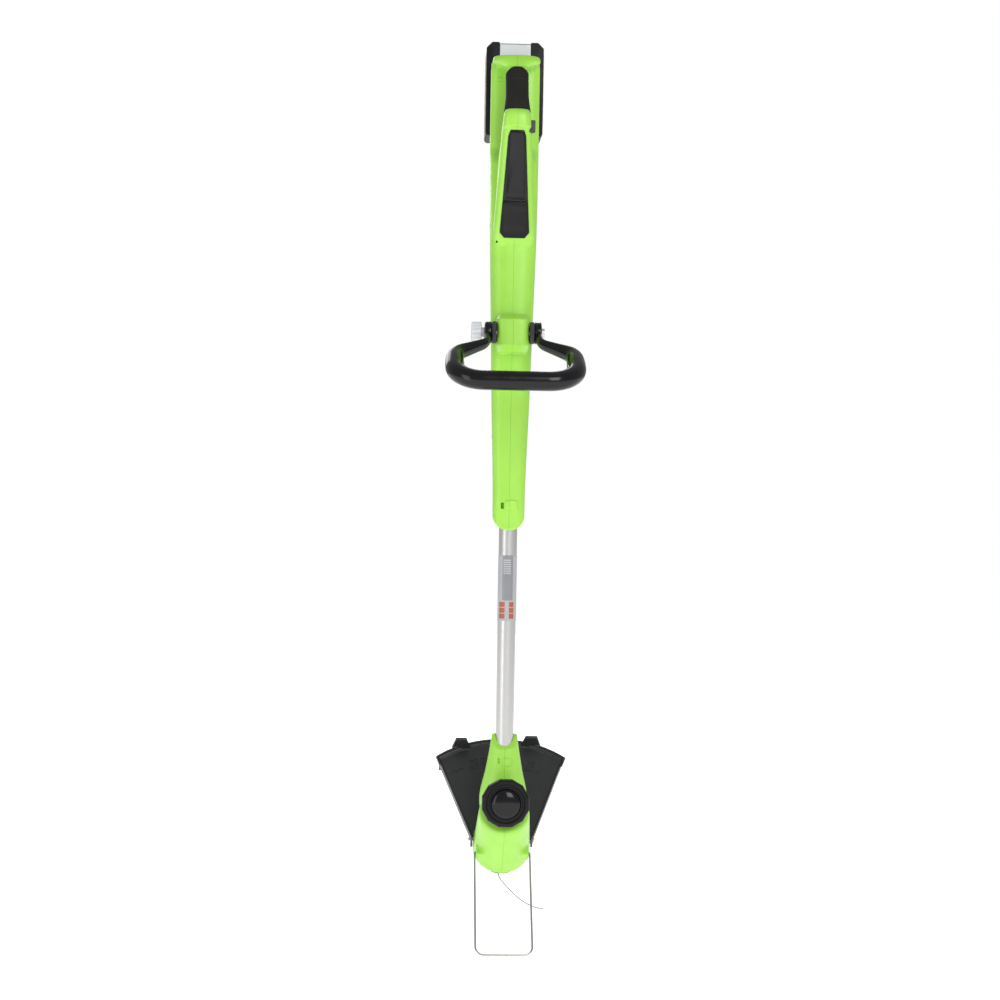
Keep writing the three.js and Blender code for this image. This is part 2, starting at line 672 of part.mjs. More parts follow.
function makeBlade() {
  const plate = slab('y', [[-5, -15], [-5, 9], [-2, 15], [18, 15], [18, -15]], -1.5, 0);
  const holes = [-8, 8].map((x) => bar('y', 1.6, -6, 20, 12, x, 12));
  add(head, 'trimming_blade', atBlade(cut(plate, ...holes)), steel);
  [-8, 8].forEach((x, index) => {
    const screw = join(bar('y', 1.6 - GAP, -2.4, 5, 12, x, 12), bar('y', 3, -4, -1.8, 12, x, 16));
    add(head, `blade_screw_${index + 1}`, atBlade(screw), steel);
  });
}

// ---------------------------------------------------------------- wire guard

function makeWireGuard() {
  const leg = earHalfWidth + GAP + WIRE_RADIUS;
  const end = WIRE_HINGE_V - WIRE_LEG;
  const pin = earHalfWidth - 8;
  const bend = WIRE_RADIUS * 1.6;
  const route = rounded([
    [-pin, WIRE_HINGE_V, WIRE_HINGE_W], [-leg, WIRE_HINGE_V, WIRE_HINGE_W, bend],
    [-leg, end, WIRE_HINGE_W, WIRE_BEND], [leg, end, WIRE_HINGE_W, WIRE_BEND],
    [leg, WIRE_HINGE_V, WIRE_HINGE_W, bend], [pin, WIRE_HINGE_V, WIRE_HINGE_W],
  ]);
  const motorAxis = new THREE.Vector3(0, 0, 1);
  add(head, 'wire_guard', sweep(route, motorAxis, () => WIRE_RADIUS, 10), steel);
}

// ---------------------------------------------------------------- housing

const bridgeEnd = GRIP_START - 4;

function bodyStations() {
  const wide = HOUSING_HALF_WIDTH;
  const nose = NOSE_HALF_WIDTH;
  const end = HOUSING_LENGTH;
  return [
    [0, nose, -17, 17], [24, nose, -18, 18.5], [182, between(182, 24, 403, nose, wide - 2), -22, 24],
    [316, between(316, 24, 403, nose, wide - 2), -26, 28], [403, wide - 2, -27, bodyFloor],
    [505, wide - 0.6, -12, bodyFloor], [530, wide, underHand, bodyFloor],
    [end - 10, wide, underHand, bodyFloor], [end, wide - 4, underHand + 3, bodyFloor],
  ];
}

// Dorsal height of the sloped ridge in front of the grip.
function slopeY(h) {
  return between(h, SLOPE_START, SLOPE_END, -31, -(HANDLE_PEAK - 4));
}

function ridgeStations() {
  return [
    [SLOPE_START - 26, 22, -22, 0], [SLOPE_START, 29, slopeY(SLOPE_START), 4],
    [SLOPE_END, 21, slopeY(SLOPE_END), 4], [SLOPE_END + 12, 19.5, -HANDLE_PEAK, 4],
    [bridgeEnd, 18, -HANDLE_PEAK - 1, 4], [bridgeEnd + 8, 12, -HANDLE_PEAK + 6, 0],
  ];
}

function armStations() {
  const half = GRIP_HALF_WIDTH;
  return [
    [bridgeEnd - 12, half, -HANDLE_PEAK + 2, -44], [575, half, -64, -38], [605, half, -51, -26.5],
    [GRIP_END, half, -40, -21], [HOUSING_LENGTH - 4, HOUSING_HALF_WIDTH - 4, -34, underHand + 9],
    [HOUSING_LENGTH, HOUSING_HALF_WIDTH - 6, -30, underHand + 9],
  ];
}

// The opening that the hand goes through, as (y, h). The arm is added over it.
const handGap = [
  [-44, 524], [-38, 519], [-12, 519], [underHand - 0.5, 528], [underHand - 0.5, 660], [-80, 660],
  [-80, bridgeEnd - 2], [-45, bridgeEnd - 2],
];

// The trigger's slot in the arm, as (y, h), open to the hand's gap.
const triggerSlot = [
  [-54.5, 512], [-60.5, 533], [-63, 545], [-63, 550], [-58, 582], [-24, 582], [-24, 540], [-40, 524],
  [-42, 512],
];
const triggerPivot = { y: -52, h: 533 };

// The lock-out button sits in the right side of the bridge.
const lockout = { h: 547, y: -57, inner: 16, outer: 16 + LOCKOUT_DEPTH, pocket: 9.2 };

const screwPlaces = [[130, 18.5], [300, 20], [420, -8], [470, 22], [500, 8], [641, 16]];

function screwBore(h, y, radius, from, to) {
  return bar('x', radius, from, to, y, h, 8);
}

// Half width of the housing where a screw goes through it.
function widthAt(h) {
  return sectionAt(bodyStations(), h)[1];
}

function makeHousing() {
  const noseArc = [];
  for (let i = 0; i <= 10; i += 1) {
    const angle = -Math.PI / 2 + (i / 10) * Math.PI;
    noseArc.push([NOSE_HALF_WIDTH * (1 - Math.cos(angle)), NOSE_HALF_WIDTH * Math.sin(angle)]);
  }
  const full = [...noseArc, [NOSE_HALF_WIDTH, 60], [HOUSING_LENGTH + 1, 60],
    [HOUSING_LENGTH + 1, -60], [NOSE_HALF_WIDTH, -60]];
  const body = loft(bodyStations(), 3.2, 24).intersect(slab('y', full, -100, 100));
  const ridge = loft(ridgeStations(), 4, 20);
  const arm = loft(armStations(), 2.6, 20);
  const collarStart = HANDLE_AXIS_H - COLLAR_LENGTH / 2;
  const collarEnd = HANDLE_AXIS_H + COLLAR_LENGTH / 2;
  const collarTop = HANDLE_AXIS_Y - COLLAR_ABOVE_AXIS;
  const collar = loft([
    [collarStart, COLLAR_HALF_WIDTH - 3, HANDLE_AXIS_Y, 0],
    [collarStart + 8, COLLAR_HALF_WIDTH, collarTop, 0],
    [collarEnd - 8, COLLAR_HALF_WIDTH, collarTop, 0],
    [collarEnd, COLLAR_HALF_WIDTH - 3, HANDLE_AXIS_Y, 0],
  ], 4.5, 16);
  const railStart = HOUSING_LENGTH + BATTERY_OVERHANG - BATTERY_LENGTH + 6;
  const railEnd = HOUSING_LENGTH - 8;
  const rail = join(
    block(-RAIL_NECK_HALF_WIDTH, RAIL_NECK_HALF_WIDTH, bodyFloor - 4, bodyFloor + 4, railStart, railEnd),
    block(-RAIL_HALF_WIDTH, RAIL_HALF_WIDTH, bodyFloor + 3, bodyFloor + RAIL_DEPTH, railStart, railEnd));

  // Hollows.
  const inside = (from, to) => loft(inset(stretch(bodyStations(), from, to), WALL), 3.2, 16);
  const tubeBore = bar('z', TUBE_RADIUS + GAP / 2, -5, TUBE_IN_HOUSING + GAP, 0, 0, 32);
  const tubeSleeve = bar('z', TUBE_RADIUS + 3, -5, TUBE_IN_HOUSING + 2);
  const noseHollow = cut(inside(NOSE_HALF_WIDTH + 6, TUBE_IN_HOUSING - 8), tubeSleeve);
  const bodyHollow = inside(TUBE_IN_HOUSING + 6, HOUSING_LENGTH - 12);
  const leadWay = bar('z', 6, TUBE_IN_HOUSING - 2, TUBE_IN_HOUSING + 8);
  const underInlay = (h) => slopeY(h) + INLAY_DEPTH;
  const ridgeHollow = loft(inset([
    [SLOPE_START + 14, 26, underInlay(SLOPE_START + 14), 8],
    [SLOPE_END - 15, 20, underInlay(SLOPE_END - 15), 8],
  ], WALL), 3, 16);
  const slot = slab('x', triggerSlot, -TRIGGER_HALF_WIDTH - RUN, TRIGGER_HALF_WIDTH + RUN);
  const handOpening = slab('x', handGap, -60, 60);

  const bosses = screwPlaces.map(([h, y]) => screwBore(h, y, 5.2, -widthAt(h) + 1, widthAt(h) - 1));
  const front = cut(join(body, ridge, collar), handOpening);
  const solid = cut(join(front, arm, rail), noseHollow, bodyHollow, ridgeHollow, tubeBore, leadWay);
  const outer = join(front, arm);
  const bossed = cut(join(solid, ...bosses.map((boss) => boss.intersect(outer))), slot, tubeBore);

  const boltHole = bar('x', HANDLE_BOLT_RADIUS + GAP, -40, 40, HANDLE_AXIS_Y, HANDLE_AXIS_H, 16);
  const pinHole = bar('x', TRIGGER_PIN_RADIUS + GAP, -11, 11, triggerPivot.y, triggerPivot.h, 12);
  const [up, along] = [LOCKOUT_HALF_HEIGHT + RUN, LOCKOUT_HALF_LENGTH + RUN];
  const pocket = block(lockout.pocket, 40, lockout.y - up, lockout.y + up, lockout.h - along,
    lockout.h + along);
  const screwHoles = screwPlaces.flatMap(([at, side]) => [
    screwBore(at, side, 1.9, -60, widthAt(at) - 8),
    screwBore(at, side, 4, -60, -widthAt(at) + 6),
  ]);
  const inlayBed = inlaySlab(0, INLAY_DEPTH + GAP, GAP);
  const grooves = gripSleeveSolid(GAP);
  const shell = cut(bossed, boltHole, pinHole, pocket, ...screwHoles, inlayBed, grooves);
  add(housing, 'housing_left', half(shell, 'left'), green);
  add(housing, 'housing_right', half(shell, 'right'), green);

  screwPlaces.forEach(([at, side], index) => {
    const headFace = -widthAt(at) + 6 - GAP;
    const screw = join(screwBore(at, side, 1.6, headFace - 1, 10),
      screwBore(at, side, 3.5, headFace - 2.6, headFace));
    add(housing, `housing_screw_${index + 1}`, screw, steel);
  });
}

// ---------------------------------------------------------------- inlay and grip

// The tapered inlay on the slope, between two depths below the slope and drawn out by a margin.
function inlaySlab(lift, depth, margin) {
  const shapeHalf = [[SLOPE_START - 3, 14], [SLOPE_START + 4, 20], [SLOPE_START + 48, 17],
    [SLOPE_END - 8, 12], [SLOPE_END, 8.5]];
  const outline = [
    ...shapeHalf.map(([h, x]) => [h, x + margin]),
    ...shapeHalf.reverse().map(([h, x]) => [h, -x - margin]),
  ];
  const from = SLOPE_START - 3 - margin;
  const to = SLOPE_END + margin;
  const side = slab('x', [
    [slopeY(from) - lift, from], [slopeY(to) - lift, to], [slopeY(to) + depth, to],
    [slopeY(from) + depth, from],
  ], -30, 30);
  return side.intersect(slab('y', outline, -200, 0));
}

function makeInlay() {
  const whole = inlaySlab(INLAY_STANDS, INLAY_DEPTH, 0);
  const joint = SLOPE_START + INLAY_JOINT;
  add(housing, 'inlay_panel', whole.intersect(block(-60, 60, -200, 0, joint + GAP, 900)), glossBlack);
  add(housing, 'inlay_pad', whole.intersect(block(-60, 60, -200, 0, 0, joint)), black);
}

// The rubber sleeve round the arm. It sinks into the arm, which narrows under it by the margin.
function gripSleeveSolid(margin) {
  const span = stretch(armStations(), GRIP_START, GRIP_END);
  const outer = loft(inset(span, -RUBBER / 2), 2.6);
  const inner = inset(span, RUBBER / 2 + margin);
  inner[0][0] -= 1;
  inner.at(-1)[0] += 1;
  return cut(outer, loft(inner, 2.6));
}

function makeGrip() {
  const slot = slab('x', triggerSlot, -TRIGGER_HALF_WIDTH - 2 * RUN, TRIGGER_HALF_WIDTH + 2 * RUN);
  add(housing, 'grip_sleeve', cut(gripSleeveSolid(0), slot), rubber);
}

// ---------------------------------------------------------------- trigger and lock-out

function makeTrigger() {
  const side = [[-56, 527], [-56.5, 540], [-50, 574], [-39, 574], [-32, 566], [-30, 548], [-34, 534],
    [-42, 527]];
  const { y: pinY, h: pinH } = triggerPivot;
  const blade = cut(slab('x', side, -TRIGGER_HALF_WIDTH, TRIGGER_HALF_WIDTH),
    bar('x', TRIGGER_PIN_RADIUS + GAP, -20, 20, pinY, pinH, 12));
  add(housing, 'trigger', blade, black);
  add(housing, 'trigger_pin', bar('x', TRIGGER_PIN_RADIUS, -10.5, 10.5, pinY, pinH, 12), steel);
  const spring = coil(2.4, 0.45, 0, 7.2, 3).rotateX(Math.PI / 2).translate(0, -53.6, 560);
  add(housing, 'trigger_spring', spring, steel);

  const { h, y, inner, outer, pocket } = lockout;
  const tall = LOCKOUT_HALF_HEIGHT;
  const button = slab('z', [[inner, -tall], [outer - 3, -tall], [outer, -tall + 3],
    [outer, tall - 3], [outer - 3, tall], [inner, tall]], -LOCKOUT_HALF_LENGTH, LOCKOUT_HALF_LENGTH);
  add(housing, 'lockout_button', button, darkGrey).position.set(0, y, h);
  const lockSpring = coil(2.6, 0.4, 0, inner - pocket - 1.6, 3).rotateY(Math.PI / 2);
  add(housing, 'lockout_spring', lockSpring, steel).position.set(pocket + 0.8, y, h);

  const plunger = block(-2, 2, -48, -44, 511, 524);
  add(housing, 'trigger_switch', join(block(-8, 8, -49, -36, 498, 512), plunger), black);
}

function makeElectronics() {
  const start = TUBE_IN_HOUSING + 32;
  const face = 8;
  const plate = block(-BOARD_HALF_WIDTH, BOARD_HALF_WIDTH, face, face + BOARD_THICKNESS, start,
    start + BOARD_LENGTH);
  const board = join(plate, block(-10, 4, 0, face + 0.1, start + 14, start + 36),
    bar('y', 6, -6, face + 0.1, start + 69, 0, 16));
  add(housing, 'control_board', board, circuitGreen);
  const railEnd = HOUSING_LENGTH - 8;
  const y = bodyFloor + 6;
  const blades = [-12, -4, 4, 12].map((x) => block(x - 2.5, x + 2.5, y - 0.4, y + 0.4, railEnd + 4,
    railEnd + 13));
  add(housing, 'terminal_block', join(block(-18, 18, y - 2.7, y + 2.7, railEnd + GAP, railEnd + 5),
    ...blades), brass);
}

// ---------------------------------------------------------------- front handle

function makeFrontHandle() {
  const mount = new THREE.Group();
  mount.position.set(0, HANDLE_AXIS_Y, HANDLE_AXIS_H);
  housing.add(mount);
  const inner = COLLAR_HALF_WIDTH + GAP;
  const outer = inner + DISC_THICKNESS;
  const shank = HANDLE_BOLT_RADIUS + GAP;
  for (const [name, side] of [['swivel_disc_left', -1], ['swivel_disc_right', 1]]) {
    const [from, to] = side > 0 ? [inner, outer] : [-outer, -inner];
    add(mount, name, cut(bar('x', DISC_RADIUS, from, to, 0, 0, 36),
      bar('x', shank, -60, 60, 0, 0, 16)), darkGrey);
  }

  const ear = outer + GAP;
  const earMiddle = ear + EAR_THICKNESS / 2;
  const handle = new THREE.Group(); // Z out along the loop, Y toward the operator
  handle.rotation.x = THREE.MathUtils.degToRad(90 + HANDLE_TILT);
  mount.add(handle);
  const route = rounded([
    [-earMiddle, 0, 4], [-earMiddle - 2, 0, 34, 20], [-HANDLE_HALF_SPAN, 0, 68, 26],
    [-HANDLE_HALF_SPAN, 0, HANDLE_REACH, 36], [HANDLE_HALF_SPAN, 0, HANDLE_REACH, 36],
    [HANDLE_HALF_SPAN, 0, 68, 26], [earMiddle + 2, 0, 34, 20], [earMiddle, 0, 4],
  ], 20);
  const thin = EAR_THICKNESS / 2;
  const radiusAt = (share) => {
    const fromEnd = Math.min(share, 1 - share);
    return thin + (HANDLE_BAR_RADIUS - thin) * THREE.MathUtils.smoothstep(fromEnd, 0.04, 0.26);
  };
  const loop = solidOf(sweep(route, new THREE.Vector3(0, 1, 0), radiusAt, 12));
  const ears = [-1, 1].map((side) => {
    const [from, to] = side > 0 ? [ear, ear + EAR_THICKNESS] : [-ear - EAR_THICKNESS, -ear];
    return bar('x', DISC_RADIUS, from, to, 0, 0, 28);
  });
  add(handle, 'front_handle', cut(join(loop, ...ears), bar('x', shank, -60, 60, 0, 0, 16)), glossBlack);

  const face = ear + EAR_THICKNESS + GAP;
  const bolt = join(bar('x', HANDLE_BOLT_RADIUS, -face - KNOB_LENGTH + 3, face + 1, 0, 0, 16),
    bar('x', HANDLE_BOLT_RADIUS + 3.5, face, face + 4, 0, 0, 6));
  add(mount, 'handle_bolt', bolt, steel);
  const ribs = [];
  for (let i = 0; i < 36; i += 1) {
    const angle = (i / 36) * 2 * Math.PI;
    const radius = KNOB_RADIUS - (i % 3 === 0 ? 1.8 : 0);
    ribs.push([radius * Math.cos(angle), radius * Math.sin(angle)]);
  }
  const collarEnd = -face - 4;
  const knob = cut(join(slab('x', ribs, -face - 4 - KNOB_LENGTH, collarEnd),
    bar('x', 7, collarEnd - 1, -face, 0, 0, 20)),
    bar('x', shank, -face - KNOB_LENGTH + 2.7, 0, 0, 0, 16));
  add(mount, 'handle_knob', knob, lightGrey);
}

// ---------------------------------------------------------------- battery

function makeBattery() {
  const battery = new THREE.Group(); // Z toward the operator from the battery's front end
  battery.position.set(0, bodyFloor, HOUSING_LENGTH + BATTERY_OVERHANG - BATTERY_LENGTH);
  housing.add(battery);
  const wide = BATTERY_WIDTH / 2;
  const long = BATTERY_LENGTH;
  const top = RUN;
  const seam = 20;
  const channelEnd = long - BATTERY_OVERHANG - 1;
  const plan = (inward, from, to) => {
    const w = wide - inward;
    return slab('y', [
      [inward, -w + 4], [4 + inward, -w], [long - 5 - inward, -w], [long - inward, -w + 5],
      [long - inward, w - 5], [long - 5 - inward, w], [4 + inward, w], [inward, w - 4],
    ], from, to);
  };
  const channel = join(
    block(-RAIL_NECK_HALF_WIDTH - RUN, RAIL_NECK_HALF_WIDTH + RUN, -1, 4, -1, channelEnd),
    block(-RAIL_HALF_WIDTH - RUN, RAIL_HALF_WIDTH + RUN, 3 - RUN, RAIL_DEPTH + RUN, -1, channelEnd));
  const slots = [-12, -4, 4, 12].map((x) => block(x - 3.2, x + 3.2, 5, 7, channelEnd - 1,
    channelEnd + 8));
  const stripBeds = [-1, 1].map((side) => {
    const [x0, x1] = side > 0 ? [wide - 4 - GAP, wide + 2] : [-wide - 2, -wide + 4 + GAP];
    return block(x0, x1, 2 - GAP, 9 + GAP, 14 - GAP, long - 16 + GAP);
  });
  const latch = { from: long - 23, to: long - 3, half: 21.5, depth: 10 };
  const latchBed = block(-latch.half - RUN, latch.half + RUN, -1, latch.depth, latch.from - RUN,
    long + 1);
  const upper = cut(plan(0, top, seam - GAP), channel, ...slots, ...stripBeds, latchBed,
    plan(WALL, RAIL_DEPTH + RUN + WALL + 1, seam).intersect(block(-90, 90, -10, 90, 5, channelEnd + 6)));
  add(battery, 'battery_upper_case', upper, black);
  const lower = cut(plan(0, seam, BATTERY_DEPTH), plan(WALL, seam - 1, BATTERY_DEPTH - WALL));
  add(battery, 'battery_lower_case', lower, black);

  for (const [name, side] of [['battery_strip_left', -1], ['battery_strip_right', 1]]) {
    const [x0, x1] = side > 0 ? [wide - 4, wide + 0.8] : [-wide - 0.8, -wide + 4];
    add(battery, name, block(x0, x1, 2, 9, 14, long - 16), side > 0 ? lightGrey : midGrey);
  }
  add(battery, 'battery_latch', block(-latch.half, latch.half, 0.2, 6, latch.from, latch.to), lightGrey);
  const latchSpring = coil(3, 0.45, 0, 3, 2).rotateX(-Math.PI / 2);
  add(battery, 'latch_spring', latchSpring, steel).position.set(0, 6.6, (latch.from + latch.to) / 2);

  const rows = 5;
  const pitch = 2 * CELL_RADIUS + 0.1;
  const cells = [];
  for (let layer = 0; layer < 2; layer += 1) {
    for (let row = 0; row < rows; row += 1) {
      const y = seam + 1 + CELL_RADIUS + layer * (pitch - 0.3);
      const z = long / 2 + (row - (rows - 1) / 2) * (pitch - 0.3);
      cells.push(bar('x', CELL_RADIUS, -CELL_LENGTH / 2, CELL_LENGTH / 2, y, z, 12));
    }
  }
  add(battery, 'battery_cells', join(...cells), cellBlue);
  add(battery, 'battery_board', block(-28, 28, seam - 4, seam - 2.4, 12, channelEnd - 4), circuitGreen);
}

makeTube();
makeLeads();
makeHeadShell();
makeMotor();
makeSpool();
makeLine();
makeWheel();
makeGuard();
makeBlade();
makeWireGuard();
makeHousing();
makeInlay();
makeGrip();
makeTrigger();
makeElectronics();
makeFrontHandle();
makeBattery();

export default trimmer;
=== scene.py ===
# Looks of a cordless string trimmer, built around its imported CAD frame. Shapes are made in
# millimetres of the row frame and scaled to metres when a piece is finished.
import json
import math

import bmesh
import bpy
import numpy as np
from mathutils import Matrix, Vector


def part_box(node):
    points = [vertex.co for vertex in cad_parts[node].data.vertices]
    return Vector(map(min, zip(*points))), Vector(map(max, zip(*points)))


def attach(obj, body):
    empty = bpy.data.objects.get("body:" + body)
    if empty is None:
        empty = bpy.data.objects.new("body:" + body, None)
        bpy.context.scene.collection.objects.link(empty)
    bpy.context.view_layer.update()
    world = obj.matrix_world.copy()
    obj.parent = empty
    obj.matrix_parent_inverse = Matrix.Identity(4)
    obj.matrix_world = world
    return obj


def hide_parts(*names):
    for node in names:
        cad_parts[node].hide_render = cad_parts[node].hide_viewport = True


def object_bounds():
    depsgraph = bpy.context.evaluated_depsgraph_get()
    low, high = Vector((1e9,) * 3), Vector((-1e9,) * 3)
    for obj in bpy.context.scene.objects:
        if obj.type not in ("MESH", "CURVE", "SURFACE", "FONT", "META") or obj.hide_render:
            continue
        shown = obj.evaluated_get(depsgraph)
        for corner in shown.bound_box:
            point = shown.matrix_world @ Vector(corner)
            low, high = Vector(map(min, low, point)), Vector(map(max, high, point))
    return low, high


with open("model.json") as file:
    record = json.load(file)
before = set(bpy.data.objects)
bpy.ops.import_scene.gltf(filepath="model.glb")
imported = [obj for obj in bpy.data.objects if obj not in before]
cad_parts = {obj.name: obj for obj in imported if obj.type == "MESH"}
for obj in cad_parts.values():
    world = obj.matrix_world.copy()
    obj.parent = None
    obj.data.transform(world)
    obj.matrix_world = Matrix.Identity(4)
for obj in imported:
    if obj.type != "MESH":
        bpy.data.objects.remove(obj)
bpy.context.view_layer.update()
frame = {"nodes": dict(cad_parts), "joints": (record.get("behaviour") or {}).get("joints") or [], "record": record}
JOINTS = {joint["name"]: joint for joint in frame["joints"]}
TAU = 2 * math.pi

# ---------------------------------------------------------------- frames from the CAD, in mm


def corners(node):
    low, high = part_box(node)
    return low * 1000, high * 1000


TUBE_LOW, TUBE_HIGH = corners("shaft_tube")
TUBE_RADIUS = (TUBE_HIGH.x - TUBE_LOW.x) / 2
NOSE_Z = corners("housing_left")[0].z
HOUSING = Matrix.Translation((0, (TUBE_LOW.y + TUBE_HIGH.y) / 2, NOSE_Z))


def turning_frame(joint):
    """A joint's frame: X across the tool, Z along the joint's axis."""
    axis, across = Vector(JOINTS[joint]["axis"]).normalized(), Vector((1, 0, 0))
    held = Matrix((across, axis.cross(across), axis)).transposed().to_4x4()
    held.translation = Vector(JOINTS[joint]["pos_m"]) * 1000
    return held


HEAD = turning_frame("line_head_spin")
HEAD_H = HEAD.translation.z - NOSE_Z  # height of the head's origin in the housing's frame

MOUNT = Matrix.Translation(Vector(JOINTS["front_handle_tilt"]["pos_m"]) * 1000)
LOOP = MOUNT @ Matrix.Rotation(math.radians(120), 4, "X")
WHEEL = turning_frame("edge_wheel_spin")
case_low = corners("battery_upper_case")[0]
CASE_CLEARANCE = 0.6  # between the housing's floor and the battery
BATTERY = Matrix.Translation((0, case_low.y - CASE_CLEARANCE, case_low.z))

# ---------------------------------------------------------------- camera

LENS = 67.8
TARGET = Vector((-0.0119, 0.052, -0.546))  # metres
DISTANCE = 2.6
TURN = math.radians(-2.5)
ROLL = math.radians(1.0)

scene = bpy.context.scene
camera_data = bpy.data.cameras.new("view")
camera_data.lens = LENS
camera = bpy.data.objects.new("view", camera_data)
scene.collection.objects.link(camera)
toward = Vector((-math.sin(TURN), math.cos(TURN), 0))
camera.location = TARGET - DISTANCE * toward
roll = Matrix.Rotation(ROLL, 4, "Z")
camera.matrix_world = (Matrix.Translation(camera.location)
                       @ toward.to_track_quat("-Z", "Y").to_matrix().to_4x4() @ roll)
scene.camera = camera
scene.view_settings.view_transform = "Standard"

# ---------------------------------------------------------------- materials


class Nodes:
    """A material's nodes, with the part's own coordinates at hand."""

    def __init__(self, name):
        self.material = bpy.data.materials.new(name)
        self.material.use_nodes = True
        self.tree = self.material.node_tree
        self.shader = self.tree.nodes["Principled BSDF"]
        self.place = self.add("ShaderNodeTexCoord").outputs["Object"]

    def add(self, kind, inputs=None, **settings):
        node = self.tree.nodes.new(kind)
        for key, value in settings.items():
            setattr(node, key, value)
        for key, value in (inputs or {}).items():
            if isinstance(value, bpy.types.NodeSocket):
                self.tree.links.new(value, node.inputs[key])
            else:
                node.inputs[key].default_value = value
        return node

    def link(self, output, name):
        self.tree.links.new(output, self.shader.inputs[name])

    def stretched(self, scale):
        return self.add("ShaderNodeMapping", {0: self.place, 3: scale}).outputs[0]

    def noise(self, scale, detail=3.0, place=None):
        inputs = {"Vector": place or self.place, "Scale": scale, "Detail": detail}
        return self.add("ShaderNodeTexNoise", inputs).outputs["Fac"]

    def ranged(self, value, low, high, to_low, to_high):
        inputs = {0: value, 1: low, 2: high, 3: to_low, 4: to_high}
        return self.add("ShaderNodeMapRange", inputs).outputs[0]

    def mix(self, factor, first, second):
        node = self.add("ShaderNodeMix", data_type="RGBA")
        for index, value in ((0, factor), (6, first), (7, second)):
            if isinstance(value, bpy.types.NodeSocket):
                self.tree.links.new(value, node.inputs[index])
            else:
                node.inputs[index].default_value = value
        return node.outputs[2]

    def bump(self, height, strength, distance):
        inputs = {"Height": height, "Strength": strength, "Distance": distance}
        return self.add("ShaderNodeBump", inputs).outputs[0]


def shade(color, factor):
    return tuple(min(1.0, c * factor) for c in color) + (1.0,)


LOOKS = {}


def surface(name, color, rough, metal=0.0, mottle=0.05, spread=0.06, grain=0.12, grain_size=0.7,
            wear=0.25, worn=1.5, streaks=None, coat=0.0, dust=0.0, shine=0.5):
    """A moulded, painted or drawn surface: colour drift, uneven gloss, fine grain and worn edges."""
    n = Nodes(name)
    for key, value in (("Metallic", metal), ("Specular IOR Level", shine), ("Coat Weight", coat),
                       ("Coat Roughness", 0.12)):
        n.shader.inputs[key].default_value = value
    place = n.stretched(streaks) if streaks else n.place
    drift = n.ranged(n.noise(22.0, place=place), 0.3, 0.7, 0.0, 1.0)
    base = n.mix(drift, shade(color, 1 - mottle), shade(color, 1 + mottle))
    speck = n.ranged(n.noise(420.0, 2.0), 0.35, 0.65, 0.0, 1.0)
    base = n.mix(n.ranged(speck, 0.0, 1.0, 0.0, 0.12), base, shade(color, 1 - 3 * mottle))
    edge = n.add("ShaderNodeNewGeometry").outputs["Pointiness"]
    rub = n.ranged(n.noise(130.0, 4.0), 0.35, 0.7, 0.0, wear)
    worn_edge = n.add("ShaderNodeMath", {0: n.ranged(edge, 0.53, 0.6, 0.0, 1.0), 1: rub},
                      operation="MULTIPLY").outputs[0]
    base = n.mix(worn_edge, base, shade(color, worn))
    if dust:
        low = n.ranged(edge, 0.4, 0.49, dust, 0.0)
        base = n.mix(low, base, (0.3, 0.28, 0.24, 1.0))
    n.link(base, "Base Color")
    gloss = n.ranged(n.noise(70.0, 4.0, place), 0.3, 0.7, rough - spread, rough + spread)
    n.link(gloss, "Roughness")
    if grain:
        fine = n.noise(1000.0 / grain_size, 2.0, place if streaks else None)
        n.link(n.bump(fine, grain, 0.0002), "Normal")
    LOOKS[name] = n.material
    return n.material


surface("green_plastic", (0.33, 0.68, 0.07), 0.36, wear=0.35, worn=1.25, grain=0.08)
surface("black_plastic", (0.007, 0.007, 0.008), 0.44, grain=0.22, worn=3.0, wear=0.3, dust=0.04,
        shine=0.2)
surface("gloss_black_plastic", (0.004, 0.004, 0.005), 0.16, grain=0.03, coat=0.05, worn=3.0,
        wear=0.2, spread=0.04, shine=0.3)
surface("grip_rubber", (0.013, 0.013, 0.0115), 0.68, grain=0.5, grain_size=0.5, worn=2.2, dust=0.06,
        shine=0.2)
surface("dark_grey_plastic", (0.03, 0.03, 0.034), 0.5, grain=0.2, worn=2.0)
surface("light_grey_plastic", (0.66, 0.68, 0.70), 0.42, mottle=0.03)
surface("mid_grey_plastic", (0.27, 0.27, 0.29), 0.45, mottle=0.04)
surface("steel", (0.56, 0.56, 0.57), 0.3, metal=1.0, grain=0.06, worn=1.3)
surface("wire_steel", (0.52, 0.52, 0.53), 0.28, metal=1.0, worn=1.2, streaks=(1, 1, 0.1),
        grain=0.08)
surface("aluminium_tube", (0.56, 0.555, 0.54), 0.36, metal=1.0, mottle=0.04, streaks=(6, 6, 0.05),
        grain=0.25, grain_size=1.5, worn=1.1, wear=0.1)
surface("brass", (0.6, 0.42, 0.15), 0.35, metal=1.0, worn=1.3)
surface("label_film", (0.40, 0.41, 0.43), 0.38, grain=0.03, wear=0.0)
surface("nylon_line", (0.33, 0.33, 0.33), 0.35, grain=0.1, wear=0.0)
surface("circuit_board", (0.012, 0.11, 0.035), 0.45)
surface("red_insulation", (0.45, 0.015, 0.012), 0.45)
surface("black_insulation", (0.02, 0.02, 0.02), 0.5)
surface("cell_sleeve", (0.03, 0.11, 0.32), 0.4)
# Black plastic for the guard. Its base colour is lighter than black_plastic to paint the sheen on the guard's top.
GUARD_SHEEN_BLACK = surface("guard_black_painted_sheen", (0.026, 0.026, 0.028), 0.36, grain=0.15, worn=2.5, shine=0.45)
LABEL_DARK = surface("label_dark", (0.24, 0.245, 0.26), 0.36, grain=0.03, wear=0.0)
LABEL_LINE = surface("label_line", (0.55, 0.56, 0.58), 0.4, grain=0.03, wear=0.0)
LABEL_RED = surface("label_red", (0.38, 0.1, 0.05), 0.4, grain=0.03, wear=0.0)

